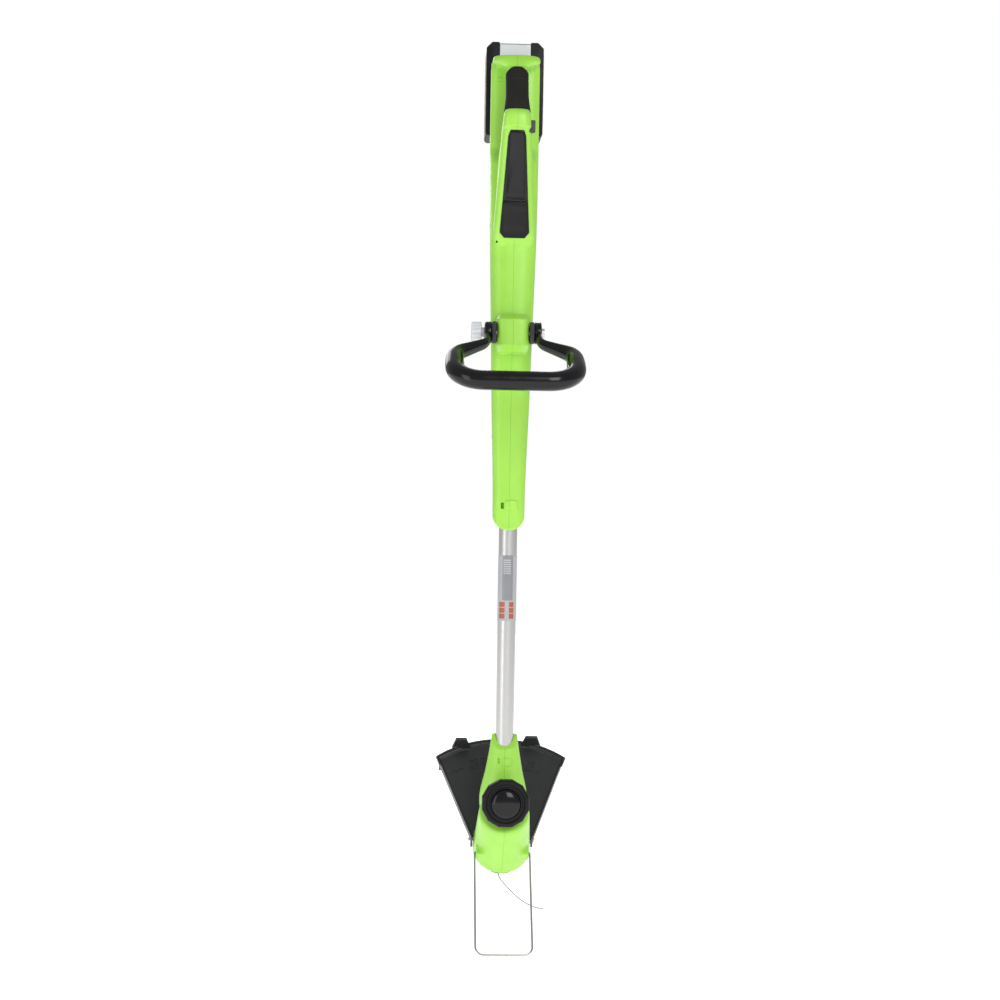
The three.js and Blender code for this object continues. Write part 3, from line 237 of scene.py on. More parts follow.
for entry in frame["record"]["materials"]:
    for node in entry.get("nodes", []):
        if node in frame["nodes"]:
            for slot in frame["nodes"][node].material_slots:
                slot.material = LOOKS[entry["slot"]]

# ---------------------------------------------------------------- shapes, in mm


def mesh_object(name, verts, faces):
    mesh = bpy.data.meshes.new(name)
    mesh.from_pydata([tuple(map(float, v)) for v in verts], [], faces)
    work = bmesh.new()
    work.from_mesh(mesh)
    bmesh.ops.recalc_face_normals(work, faces=work.faces)
    work.to_mesh(mesh)
    work.free()
    obj = bpy.data.objects.new(name, mesh)
    scene.collection.objects.link(obj)
    return obj


def skin(rings, closed_along=False):
    """A surface through rings of equally many points, capped unless it closes on itself."""
    rings = np.asarray(rings, float)
    rows, n = rings.shape[:2]
    faces = []
    for i in range(rows if closed_along else rows - 1):
        a, b = i * n, ((i + 1) % rows) * n
        faces += [(a + j, a + (j + 1) % n, b + (j + 1) % n, b + j) for j in range(n)]
    if not closed_along:
        faces += [tuple(range(n - 1, -1, -1)), tuple(range((rows - 1) * n, rows * n))]
    return mesh_object("skin", rings.reshape(-1, 3), faces)


def settle(obj):
    """Applies an object's modifiers."""
    bpy.context.view_layer.update()
    graph = bpy.context.evaluated_depsgraph_get()
    mesh = bpy.data.meshes.new_from_object(obj.evaluated_get(graph))
    obj.modifiers.clear()
    old = obj.data
    obj.data = mesh
    bpy.data.meshes.remove(old)
    return obj


def boolean(obj, tools, operation="DIFFERENCE"):
    for tool in tools:
        modifier = obj.modifiers.new("b", "BOOLEAN")
        modifier.operation, modifier.solver, modifier.object = operation, "MANIFOLD", tool
    settle(obj)
    for tool in tools:
        bpy.data.objects.remove(tool)
    return obj


def cut(obj, *tools):
    return boolean(obj, tools)


def join(obj, *tools):
    return boolean(obj, tools, "UNION")


def meet(obj, *tools):
    return boolean(obj, tools, "INTERSECT")


def copy_of(obj):
    twin = obj.copy()
    twin.data = obj.data.copy()
    scene.collection.objects.link(twin)
    return twin


def moved(obj, *matrices):
    for matrix in matrices:
        obj.data.transform(matrix)
    return obj


def eased(obj, width, segments=3):
    """Rounds the edges sharper than 30 degrees."""
    modifier = obj.modifiers.new("e", "BEVEL")
    modifier.width, modifier.segments = width, segments
    modifier.limit_method, modifier.angle_limit = "ANGLE", math.radians(30)
    return settle(obj)


def fused(parts, voxel, rounds):
    """One skin over overlapping solids, with its corners softened."""
    whole = bmesh.new()
    for part in parts:
        whole.from_mesh(part.data)
        bpy.data.objects.remove(part)
    mesh = bpy.data.meshes.new("fused")
    whole.to_mesh(mesh)
    whole.free()
    obj = bpy.data.objects.new("fused", mesh)
    scene.collection.objects.link(obj)
    remesh = obj.modifiers.new("r", "REMESH")
    remesh.mode, remesh.voxel_size = "VOXEL", voxel
    smooth = obj.modifiers.new("s", "SMOOTH")
    smooth.factor, smooth.iterations = 0.5, rounds
    return settle(obj)


def along(axis, a, b, c):
    """(across, up, along) of an extrusion as (x, y, z)."""
    return {"x": (c, a, b), "y": (b, c, a), "z": (a, b, c)}[axis]


def prism(axis, points, low, high, ease=0.0, segments=3):
    """An outline pushed along an axis: (y, z) along x, (z, x) along y and (x, y) along z."""
    n = len(points)
    verts = [along(axis, a, b, c) for c in (low, high) for a, b in points]
    faces = [tuple(range(n)), tuple(range(2 * n - 1, n - 1, -1))]
    faces += [(i, i + n, (i + 1) % n + n, (i + 1) % n) for i in range(n)]
    obj = mesh_object("prism", verts, faces)
    return eased(obj, ease, segments) if ease else obj


def block(x0, x1, y0, y1, z0, z1, ease=0.0, segments=3):
    return prism("z", [(x0, y0), (x1, y0), (x1, y1), (x0, y1)], z0, z1, ease, segments)


def circle(radius, n, a, b):
    return [(a + radius * math.cos(TAU * i / n), b + radius * math.sin(TAU * i / n)) for i in range(n)]


def bar(axis, radius, low, high, a=0.0, b=0.0, n=64, ease=0.0):
    return prism(axis, circle(radius, n, a, b), low, high, ease)


def polar(rows, n, closed_along=False):
    """A turned piece about Z from (radius, z) rows, where a radius may be a function of the angle."""
    angles = np.arange(n) * TAU / n
    rings = []
    for radius, z in rows:
        r = np.array([radius(t) for t in angles]) if callable(radius) else np.full(n, radius)
        r = np.maximum(r, 0.02)
        rings.append(np.stack([r * np.cos(angles), r * np.sin(angles), np.full(n, z)], 1))
    return skin(rings, closed_along)


def flow(stations, steps):
    """Values between stations on a smooth line that never overshoots them."""
    s = np.asarray(stations, float)
    h = np.diff(s[:, 0])
    out = [steps]
    for column in s[:, 1:].T:
        d = np.diff(column) / h
        m = np.zeros(len(s))
        for i in range(1, len(s) - 1):
            if d[i - 1] * d[i] > 0:
                m[i] = 2 * d[i - 1] * d[i] / (d[i - 1] + d[i])
        m[0], m[-1] = d[0], d[-1]
        k = np.clip(np.searchsorted(s[:, 0], steps, "right") - 1, 0, len(h) - 1)
        t = (steps - s[k, 0]) / h[k]
        out.append((2 * t**3 - 3 * t**2 + 1) * column[k] + (t**3 - 2 * t**2 + t) * h[k] * m[k]
                   + (3 * t**2 - 2 * t**3) * column[k + 1] + (t**3 - t**2) * h[k] * m[k + 1])
    return np.stack(out, 1)


def straight(stations, steps):
    s = np.asarray(stations, float)
    return np.stack([steps] + [np.interp(steps, s[:, 0], c) for c in s[:, 1:].T], 1)


def stations_between(stations, low, high, step, between):
    kept = [z for z, *_ in stations if low < z < high]
    steps = np.unique(np.concatenate([np.arange(low, high, step), kept, [high]]))
    return between(stations, steps)


def loft(stations, power, n, step=4.0, low=None, high=None, between=flow, wall=0.0, relief=None):
    """A body whose rounded section changes along Z: (z, half width, dorsal y, ventral y)."""
    low = stations[0][0] if low is None else low
    high = stations[-1][0] if high is None else high
    t = np.arange(n) * TAU / n
    c, s = np.cos(t), np.sin(t)
    square = 2 / power
    c, s = np.sign(c) * np.abs(c) ** square, np.sign(s) * np.abs(s) ** square
    rings = []
    for z, half, dorsal, ventral in stations_between(stations, low, high, step, between):
        half, dorsal, ventral = half - wall, dorsal + wall, ventral - wall
        ring = np.stack([half * c, (dorsal + ventral) / 2 + (ventral - dorsal) / 2 * s,
                         np.full(n, z)], 1)
        if relief is not None:
            ring = relief(z, t, ring)
        rings.append(ring)
    return skin(rings)


def rounded(points, steps):
    """A chain of points with its corners rounded: (x, y, z, radius)."""
    route = [Vector(points[0][:3])]
    for i in range(1, len(points) - 1):
        here = Vector(points[i][:3])
        before = (Vector(points[i - 1][:3]) - here).normalized()
        after = (Vector(points[i + 1][:3]) - here).normalized()
        bend = math.pi - before.angle(after)
        reach = points[i][3] * math.tan(bend / 2)
        centre = here + (before + after).normalized() * points[i][3] / math.cos(bend / 2)
        arm = before * reach + here - centre
        axis = before.cross(after).normalized()
        route += [centre + Matrix.Rotation(-bend * k / steps, 3, axis) @ arm for k in range(steps + 1)]
    route.append(Vector(points[-1][:3]))
    return route


def resampled(route, spacing):
    points = np.array([tuple(p) for p in route])
    keep = np.concatenate([[True], np.linalg.norm(np.diff(points, axis=0), axis=1) > 1e-6])
    points = points[keep]
    run = np.concatenate([[0], np.cumsum(np.linalg.norm(np.diff(points, axis=0), axis=1))])
    at = np.linspace(0, run[-1], max(2, int(run[-1] / spacing)))
    return np.stack([np.interp(at, run, points[:, k]) for k in range(3)], 1)


def swept(points, across, radius_at, n):
    """A bar along a flat route. radius_at gives (in the plane, across it) for a share of the way."""
    points = np.asarray(points, float)
    across = np.asarray(across, float)
    ahead = np.gradient(points, axis=0)
    ahead /= np.linalg.norm(ahead, axis=1)[:, None]
    side = np.cross(across, ahead)
    t = np.arange(n) * TAU / n
    rings = []
    for i, (point, out) in enumerate(zip(points, side)):
        a, b = radius_at(i / (len(points) - 1))
        rings.append(point + a * np.cos(t)[:, None] * out + b * np.sin(t)[:, None] * across)
    return skin(rings)


# ---------------------------------------------------------------- finishing

METRES = Matrix.Diagonal((0.001, 0.001, 0.001, 1.0))


def piece(obj, name, body, slot, node, sharp=38, printed=False):
    """Names a finished shape, gives it its material and puts it on its body."""
    obj.name = obj.data.name = name
    obj.data.transform(METRES)
    obj.data.shade_smooth()
    obj.data.set_sharp_from_angle(angle=math.radians(sharp))
    if not printed:
        obj.data.materials.clear()
        obj.data.materials.append(LOOKS[slot])
    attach(obj, body)
    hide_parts(node)


def halves(obj, left, right):
    """Splits a green shell at the middle plane, as its two mouldings."""
    far, gap = 500, 0.09
    twin = copy_of(obj)
    meet(obj, block(-far, -gap, -far, far, -1500, far))
    meet(twin, block(gap, far, -far, far, -1500, far))
    piece(obj, left + "_shell", "frame", "green_plastic", left)
    piece(twin, right + "_shell", "frame", "green_plastic", right)


def screw(at, direction, head_radius, head_height, name, node, shank=1.6, length=14.0):
    """A cross-recessed screw. Its head's underside is at the given point."""
    crown = [(shank, -length), (shank, 0), (head_radius, 0), (head_radius, head_height * 0.55),
             (head_radius * 0.8, head_height * 0.9), (head_radius * 0.4, head_height), (0, head_height)]
    obj = polar([(0, -length)] + crown, 40)
    arm, deep = head_radius * 0.62, head_height * 0.45
    wide = head_radius * 0.16
    cut(obj, block(-arm, arm, -wide, wide, deep, head_height + 1),
        block(-wide, wide, -arm, arm, deep, head_height + 1))
    turned = Vector(direction).to_track_quat("Z", "Y").to_matrix().to_4x4()
    moved(obj, turned, Matrix.Translation(at))
    piece(obj, name, "frame", "steel", node, 30)


# ---------------------------------------------------------------- the cutting line

LINE_RADIUS = 0.83
LINE_PLANE = -31.0
LINE_WAY = [(-3.5, -28.4), (-4.6, -37.5), (-2, -46), (7.5, -59), (22, -75), (37, -86), (47.5, -90.5),
            (57, -92)]


def centripetal(points, count):
    """A centripetal spline through points, as three.js draws it."""
    pts = [np.array((u, v, LINE_PLANE), float) for u, v in points]
    pts = [2 * pts[0] - pts[1]] + pts + [2 * pts[-1] - pts[-2]]
    out = []
    spans = len(points) - 1
    for i in range(count + 1):
        place = spans * i / count
        k = min(int(place), spans - 1)
        p = pts[k:k + 4]
        gaps = [max(1e-4, np.linalg.norm(p[j + 1] - p[j]) ** 0.5) for j in range(3)]
        t = [0, gaps[0], gaps[0] + gaps[1], sum(gaps)]
        x = t[1] + (place - k) * gaps[1]
        a = [((t[j + 1] - x) * p[j] + (x - t[j]) * p[j + 1]) / (t[j + 1] - t[j]) for j in range(3)]
        b = [((t[j + 2] - x) * a[j] + (x - t[j]) * a[j + 1]) / (t[j + 2] - t[j]) for j in range(2)]
        out.append(((t[2] - x) * b[0] + (x - t[1]) * b[1]) / (t[2] - t[1]))
    return out


way = [METRES @ HEAD @ Vector(p) for p in centripetal(LINE_WAY, 35)]
line_data = bpy.data.curves.new("cutting_line_strand", "CURVE")
line_data.dimensions = "3D"
line_data.bevel_depth = LINE_RADIUS / 1000
line_data.bevel_resolution = 5
line_data.use_fill_caps = True
strand = line_data.splines.new("POLY")
strand.points.add(len(way) - 1)
for point, place in zip(strand.points, way):
    point.co = (*place, 1)
strand.use_smooth = True
line_data.materials.append(LOOKS["nylon_line"])
line = bpy.data.objects.new("cutting_line_strand", line_data)
scene.collection.objects.link(line)
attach(line, "line_head")
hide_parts("cutting_line")
exit_angle = math.radians(-97)

# ---------------------------------------------------------------- tube and label

TUBE_WALL = 1.6
bottom, top = TUBE_LOW.z, TUBE_HIGH.z
tube = cut(bar("z", TUBE_RADIUS, bottom, top, 0, TUBE_LOW.y + TUBE_RADIUS, 96),
           bar("z", TUBE_RADIUS - TUBE_WALL, bottom - 1, top + 1, 0, TUBE_LOW.y + TUBE_RADIUS, 96))
piece(tube, "shaft_tube_drawn", "frame", "aluminium_tube", "shaft_tube")


def make_label():
    """A printed film half way round the tube: plain bands and two warm blocks, with no lettering."""
    low, high = corners("shaft_label")
    centre_y = TUBE_LOW.y + TUBE_RADIUS
    inner, outer = TUBE_RADIUS + 0.08, TUBE_RADIUS + 0.45
    columns, rows = 64, 90
    angles = np.linspace(math.pi * 1.03, math.pi * 1.97, columns + 1)
    heights = np.linspace(low.z, high.z, rows + 1)
    verts, faces = [], []
    for radius in (outer, inner):
        for z in heights:
            for t in angles:
                verts.append((radius * math.cos(t), centre_y + radius * math.sin(t), z))
    n = columns + 1
    layer = n * (rows + 1)
    kinds = []
    for i in range(rows):
        for j in range(columns):
            a = i * n + j
            faces.append((a, a + 1, a + 1 + n, a + n))
            x = outer * math.cos((angles[j] + angles[j + 1]) / 2)
            down = high.z - (heights[i] + heights[i + 1]) / 2
            kind = 0
            if abs(x) < 7.2 and down < 62:
                kind = 1
                if (down % 3.0) < 1.0 and 5 < down < 26 and abs(x + 1) < 5:
                    kind = 2
            if 64 < down < 88 and (-10.6 < x < -3.6 or 2.2 < x < 8.6):
                kind = 3 if (down % 8) < 6.6 else 0
            kinds.append(kind)
            faces.append((layer + a, layer + a + n, layer + a + 1 + n, layer + a + 1))
            kinds.append(0)
    for i in range(rows):
        for j in (0, columns):
            a, b = i * n + j, (i + 1) * n + j
            faces.append((a, b, layer + b, layer + a))
            kinds.append(0)
    for j in range(columns):
        for i in (0, rows):
            a, b = i * n + j, i * n + j + 1
            faces.append((a, b, layer + b, layer + a))
            kinds.append(0)
    obj = mesh_object("label", verts, faces)
    for material in (LOOKS["label_film"], LABEL_DARK, LABEL_LINE, LABEL_RED):
        obj.data.materials.append(material)
    obj.data.polygons.foreach_set("material_index", kinds)
    piece(obj, "shaft_label_film", "frame", "label_film", "shaft_label", printed=True)


make_label()

# ---------------------------------------------------------------- main housing

SHELL_WALL = 2.6
BODY = [(0, 22, -17, 17), (24, 22, -18, 18.5), (182, 26.2, -22, 24), (316, 29.7, -26, 28),
        (403, 32, -27, 30.5), (505, 33.4, -12, 30.5), (530, 34, 3, 30.5), (640, 34, 3, 30.5),
        (650, 33, 6, 30.5)]
RIDGE = [(377, 22, -22, 0), (403, 29, -31, 4), (540, 21, -67, 4), (552, 19.5, -71, 4),
         (562, 18.6, -72, 4)]
BRIDGE = [(544, 19.5, -71, -44), (558, 18.7, -72, -43.5), (564, 18, -71, -43), (569, 16, -68, -43)]
ARM = [(546, 14.5, -69, -44), (575, 14.5, -64, -38), (605, 14.5, -51, -26.5), (632, 14.5, -40, -21),
       (644, 33, -34, 12), (650, 32, -30, 12)]
SLOPE_START, SLOPE_END = 403.0, 540.0
SLOPE_LOW, SLOPE_HIGH = -31.0, -67.0
HAND_GAP = [(-44, 524), (-38, 519), (-12, 519), (2.5, 528), (2.5, 660), (-80, 660), (-80, 556),
            (-45, 556)]
TRIGGER_SLOT = [(-54.5, 512), (-60.5, 533), (-63, 545), (-63, 550), (-58, 582), (-24, 582), (-24, 540),
                (-40, 524), (-42, 512)]
SCREWS = [(130, 18.5), (300, 20), (420, -8), (470, 22), (500, 8), (641, 16)]
GRIP_FROM, GRIP_TO = 565.0, 632.0


def slope_y(h):
    return SLOPE_LOW + (h - SLOPE_START) / (SLOPE_END - SLOPE_START) * (SLOPE_HIGH - SLOPE_LOW)


def width_at(h):
    return float(np.interp(h, [s[0] for s in BODY], [s[1] for s in BODY]))


slope_angle = math.atan2(SLOPE_LOW - SLOPE_HIGH, SLOPE_END - SLOPE_START)
# On the slope: X across, Y up the slope from its start, Z out of it.
SLOPE = HOUSING @ Matrix.Translation((0, SLOPE_LOW, SLOPE_START)) @ Matrix((
    (1, 0, 0, 0), (0, -math.sin(slope_angle), -math.cos(slope_angle), 0),
    (0, math.cos(slope_angle), -math.sin(slope_angle), 0), (0, 0, 0, 1)))


def inlay_outline(margin, low=-3.0, high=137.0):
    widths = [(-3, 14), (4, 20), (48, 17), (129, 12), (135, 10), (137, 8.5)]
    xs, ws = [p[0] for p in widths], [p[1] for p in widths]
    heights = [low] + [x for x in xs if low < x < high] + [high]
    side = [(float(np.interp(h, xs, ws)) + margin, h / math.cos(slope_angle)) for h in heights]
    side[0] = (side[0][0], side[0][1] - margin)
    side[-1] = (side[-1][0], side[-1][1] + margin)
    return side + [(-x, y) for x, y in reversed(side)]


def grip_relief(swell, ribs):
    """The sleeve flares toward the bridge, carries fine ribs there, and thins to its ends."""
    def relief(z, t, ring):
        flare = 3.0 * max(0.0, 1 - (z - GRIP_FROM) / 26) ** 1.4
        ring[:, 0] += flare * np.cos(t)
        grow = swell
        if ribs:
            near_end = min(z - GRIP_FROM, GRIP_TO - z)
            grow += -1.0 * max(0.0, 1 - near_end / 2.0) ** 2
            fade = max(0.0, min(1.0, (595 - z) / 6, (z - 569) / 4))
            dorsal = np.clip(-np.sin(t), 0, 1)
            grow = grow - 0.45 * fade * dorsal * (0.5 + 0.5 * np.cos(40 * t)) ** 2
            grow = grow - 0.6 * math.exp(-(((z - 613) / 0.7) ** 2))
        centre = ring.mean(0)
        out = ring - centre
        out[:, 2] = 0
        out /= np.linalg.norm(out, axis=1)[:, None]
        return ring + out * np.reshape(grow, (-1, 1))
    return relief


def make_housing():
    angles = np.linspace(-math.pi / 2, math.pi / 2, 40)
    nose = [(22 * (1 - math.cos(a)), 22 * math.sin(a)) for a in angles]
    outline = nose + [(22, 70), (660, 70), (660, -70), (22, -70)]
    body = meet(loft(BODY, 3.2, 96), prism("y", outline, -100, 100))
    ridge = loft(RIDGE, 4.0, 80, between=straight)
    front = cut(join(body, ridge), prism("x", HAND_GAP, -60, 60))
    collar = loft([(243.5, 19.5, -40, 0), (251.5, 22.5, -53, 0), (287.5, 22.5, -53, 0),
                   (295.5, 19.5, -40, 0)], 4.5, 64, 2.0, between=straight)
    shell = fused([front, loft(ARM, 2.6, 80), loft(BRIDGE, 3.0, 80, 2.0), collar], 1.15, 7)

    hollows = [
        loft(BODY, 3.2, 32, 12.0, 110, 638, wall=SHELL_WALL),
        loft([(417, 26, slope_y(417) + 2.4, 8), (525, 20, slope_y(525) + 2.4, 8)], 3.0, 32, 40.0,
             between=straight, wall=SHELL_WALL),
        cut(loft(BODY, 3.2, 32, 12.0, 28, 96, wall=SHELL_WALL),
            bar("z", TUBE_RADIUS + 3, 0, 110, n=48)),
        bar("z", TUBE_RADIUS + 0.15, -5, 104.3, n=96),
    ]
    rail = [block(-22, 22, 26.5, 34.5, 557, 642), block(-27, 27, 33.5, 39.5, 557, 642, 0.6)]
    shell = cut(shell, *hollows)
    # A raised tab at the nose, then the openings, beds and small marks.
    tab = eased(block(-5.5, 11, -19.6, -16, 29, 41.5), 0.9)
    shell = join(shell, *rail, tab)
    cuts = [
        prism("x", TRIGGER_SLOT, -6.6, 6.6),
        bar("x", 3.3, -40, 40, -40, 269.5),
        bar("x", 1.8, -11, 11, -52, 533, 24),
        block(9.2, 40, -63.1, -50.9, 538.4, 555.6, 0.8),
        loft(ARM, 2.6, 80, 4.0, GRIP_FROM, GRIP_TO, relief=grip_relief(1.3, False)),
        prism("y", [(30, -11.3), (38.5, -11.3), (38.5, -7), (30, -7)], -30, -14.5, 0.5),
        bar("y", 1.5, -40, -16, 395, -23.5, 24), bar("x", 1.6, -40, -27.5, 2, 327.6, 24),
        bar("x", 1.8, 23, 40, 3, 176, 24),
        prism("y", [(145, -21), (153, -21), (153, -17.5), (145, -17.5)], -30, -19.8, 0.4),
        prism("y", [(620, -25), (621.8, -25), (621.8, -18), (620, -18)], -1, 5, 0.3),
        prism("y", [(625, -25), (626.8, -25), (626.8, -18), (625, -18)], -1, 5, 0.3),
    ]
    for h, y in SCREWS:
        face = width_at(h)
        cuts += [bar("x", 4.0, -60, 6 - face, y, h, 40), bar("x", 1.9, -60, face - 8, y, h, 20)]
    cuts.append(moved(prism("z", inlay_outline(0.3), -2.7, 40), HOUSING.inverted() @ SLOPE))
    shell = cut(shell, *cuts)
    core = loft(ARM, 2.6, 80, 4.0, GRIP_FROM - 6, GRIP_TO + 6, relief=grip_relief(-1.4, False))
    core = cut(core, prism("x", TRIGGER_SLOT, -6.6, 6.6))
    shell = join(shell, core)
    moved(shell, HOUSING)
    halves(shell, "housing_left", "housing_right")

    for index, (h, y) in enumerate(SCREWS, 1):
        face = -width_at(h) + 3.1
        screw(HOUSING @ Vector((face, y, h)), (-1, 0, 0), 3.5, 2.6, f"case_screw_{index}",
              f"housing_screw_{index}")


make_housing()


def make_grip():
    sleeve = loft(ARM, 2.6, 240, 0.5, GRIP_FROM, GRIP_TO, relief=grip_relief(1.1, True))
    inner = loft(ARM, 2.6, 80, 4.0, GRIP_FROM - 3, GRIP_TO + 3, relief=grip_relief(-1.1, False))
    arc = [(GRIP_FROM - 6, 30), (GRIP_FROM - 6, -30), (GRIP_TO - 17, -30)]
    rear = [(GRIP_TO - 17 + 17 * math.cos(a), 17 * math.sin(a)) for a in np.linspace(-1.57, 1.57, 24)]
    cut(sleeve, inner, prism("x", TRIGGER_SLOT, -7.2, 7.2))
    meet(sleeve, prism("y", arc + rear + [(GRIP_TO - 17, 30)], -100, 100))
    front = [(GRIP_FROM - 10, -22)]
    front += [(GRIP_FROM - 1.5 + 5.5 * math.cos(x / 17 * 1.4), x) for x in np.linspace(-19, 19, 25)]
    cut(sleeve, prism("y", front + [(GRIP_FROM - 10, 22)], -100, -46))
    piece(moved(sleeve, HOUSING), "grip_sleeve_rubber", "frame", "grip_rubber", "grip_sleeve", 50)


make_grip()


def make_inlay():
    """Two tapered pieces on the slope: a glossy dished panel and a matte pad below it."""
    up = 1 / math.cos(slope_angle)
    panel = prism("z", inlay_outline(0, 45.4), -2.4, 1.4, 0.7)
    dish = [(x * 0.74, y) for x, y in inlay_outline(0, 55, 133)]
    cut(panel, eased(prism("z", dish, 0.2, 6), 0.5, 3))
    notch = [(-13, 47.5 * up), (13, 47.5 * up), (11, 57 * up), (-11, 57 * up)]
    cut(panel, eased(prism("z", notch, -1.2, 6), 0.5, 3))
    piece(moved(panel, SLOPE), "inlay_panel_gloss", "frame", "gloss_black_plastic", "inlay_panel")
    pad = prism("z", inlay_outline(0, -3, 45), -2.4, 1.4, 0.7)
    lip = [(-16.6, 41 * up), (16.6, 41 * up), (16.4, 44 * up), (-16.4, 44 * up)]
    join(pad, prism("z", lip, 0.6, 2.1, 0.5))
    cut(pad, *[block(-13, 13, y, y + 0.7, 1.0, 3) for y in np.arange(6, 36, 3.0)])
    piece(moved(pad, SLOPE), "inlay_pad_matte", "frame", "black_plastic", "inlay_pad")


make_inlay()

# ---------------------------------------------------------------- trigger and lock-out


def make_trigger():
    side = [(-56, 527), (-56.5, 540), (-50, 574), (-39, 574), (-33, 568), (-30.6, 558), (-30, 548),
            (-31, 541), (-34, 534), (-42, 527)]
    blade = prism("x", side, -6, 6, 1.3, 4)
    dimples = ((-29.8, 548), (-29.9, 552), (-30.2, 556))
    cut(blade, bar("x", 1.8, -20, 20, -52, 533, 24),
        *[bar("x", 0.5, -4, 4, y, h, 12) for y, h in dimples])
    piece(moved(blade, HOUSING), "trigger_blade", "trigger", "black_plastic", "trigger")

    low, high = corners("lockout_button")
    button = block(low.x, high.x, low.y, high.y, low.z, high.z, 1.2, 4)
    cut(button, *[block(high.x - 0.5, high.x + 1, low.y + 2, high.y - 2, z, z + 1.0)
                  for z in np.arange(low.z + 3, high.z - 3, 2.6)])
    piece(button, "lockout_key", "lockout_button", "dark_grey_plastic", "lockout_button")


make_trigger()

# ---------------------------------------------------------------- front handle


def make_front_handle():
    inner, thick, reach = 28.8 + 0.3, 9.5, 146
    middle = inner + thick / 2
    route = rounded([(-middle, 0, 4), (-middle - 2, 0, 34, 24), (-80, 0, 68, 30), (-80, 0, reach, 38),
                     (80, 0, reach, 38), (80, 0, 68, 30), (middle + 2, 0, 34, 24), (middle, 0, 4)], 12)
    points = resampled(route, 3.0)

    def radius_at(share):
        end = min(share, 1 - share)
        x = max(0.0, min(1.0, (end - 0.04) / 0.22))
        grow = x * x * (3 - 2 * x)
        return thick / 2 + (12.6 - thick / 2) * grow, 7.5 + (12.9 - 7.5) * grow
    loop = swept(points, (0, 1, 0), radius_at, 40)
    ears = []
    for side in (-1, 1):
        a, b = sorted((side * inner, side * (inner + thick)))
        ears.append(bar("x", 15, a, b, n=72, ease=1.0))
    shape = fused([loop] + ears, 1.0, 8)
    cut(shape, bar("x", 3.4, -60, 60, n=32))
    piece(moved(shape, LOOP), "front_handle_loop", "front_handle", "gloss_black_plastic",
          "front_handle")

    for side, name in ((-1, "left"), (1, "right")):
        teeth = lambda t, base=15.0: base - 1.0 * (0.5 + 0.5 * math.cos(28 * t)) ** 3
        low, high = 22.8, 28.8
        disc = polar([(12.5, low), (lambda t: teeth(t, 14.4), low + 0.1), (teeth, low + 0.8),
                      (teeth, high - 0.8), (lambda t: teeth(t, 14.4), high - 0.1), (12.5, high)], 224)
        pits = [bar("z", 1.6, high - 0.8, high + 1, x, y, 16) for x, y in circle(9, 8, 0, 0)]
        cut(disc, bar("z", 3.3, 0, 60, n=32), *pits)
        turned = Matrix.Rotation(math.radians(90 * side), 4, "Y")
        piece(moved(disc, turned, MOUNT), f"swivel_disc_{name}_toothed", "frame", "dark_grey_plastic",
              f"swivel_disc_{name}")

    def rib(t, base):
        return base - 1.5 * (0.5 + 0.5 * math.cos(14 * t)) ** 4
    start = 28.8 + 0.3 + thick + 0.3
    rows = [(6.8, start), (6.8, start + 4)]
    rows += [(lambda t, r=r: rib(t, r), start + 4 + z) for z, r in
             ((0, 11.5), (0.3, 13.4), (1.3, 14.5), (12, 14.5), (13.2, 14.0), (13.8, 12.6), (14, 11))]
    rows += [(9.5, start + 17.9), (9, start + 17.0), (3, start + 17.0)]
    knob = polar(rows, 224)
    cut(knob, bar("z", 3.3, 0, start + 15, n=32))
    turned = Matrix.Rotation(math.radians(-90), 4, "Y")
    piece(moved(knob, turned, MOUNT), "handle_knob_ribbed", "handle_knob", "light_grey_plastic",
          "handle_knob")


make_front_handle()

# ---------------------------------------------------------------- battery


BATTERY_HALF, BATTERY_LONG = 40, 131


def battery_case(low, high, ease):
    half, end, corner = BATTERY_HALF, BATTERY_LONG, 8
    side = [(0, half - 3), (3, half), (end - corner, half), (end, half - corner)]
    outline = [(z, -x) for z, x in side] + side[::-1]
    return prism("y", outline, low, high, ease, 3)


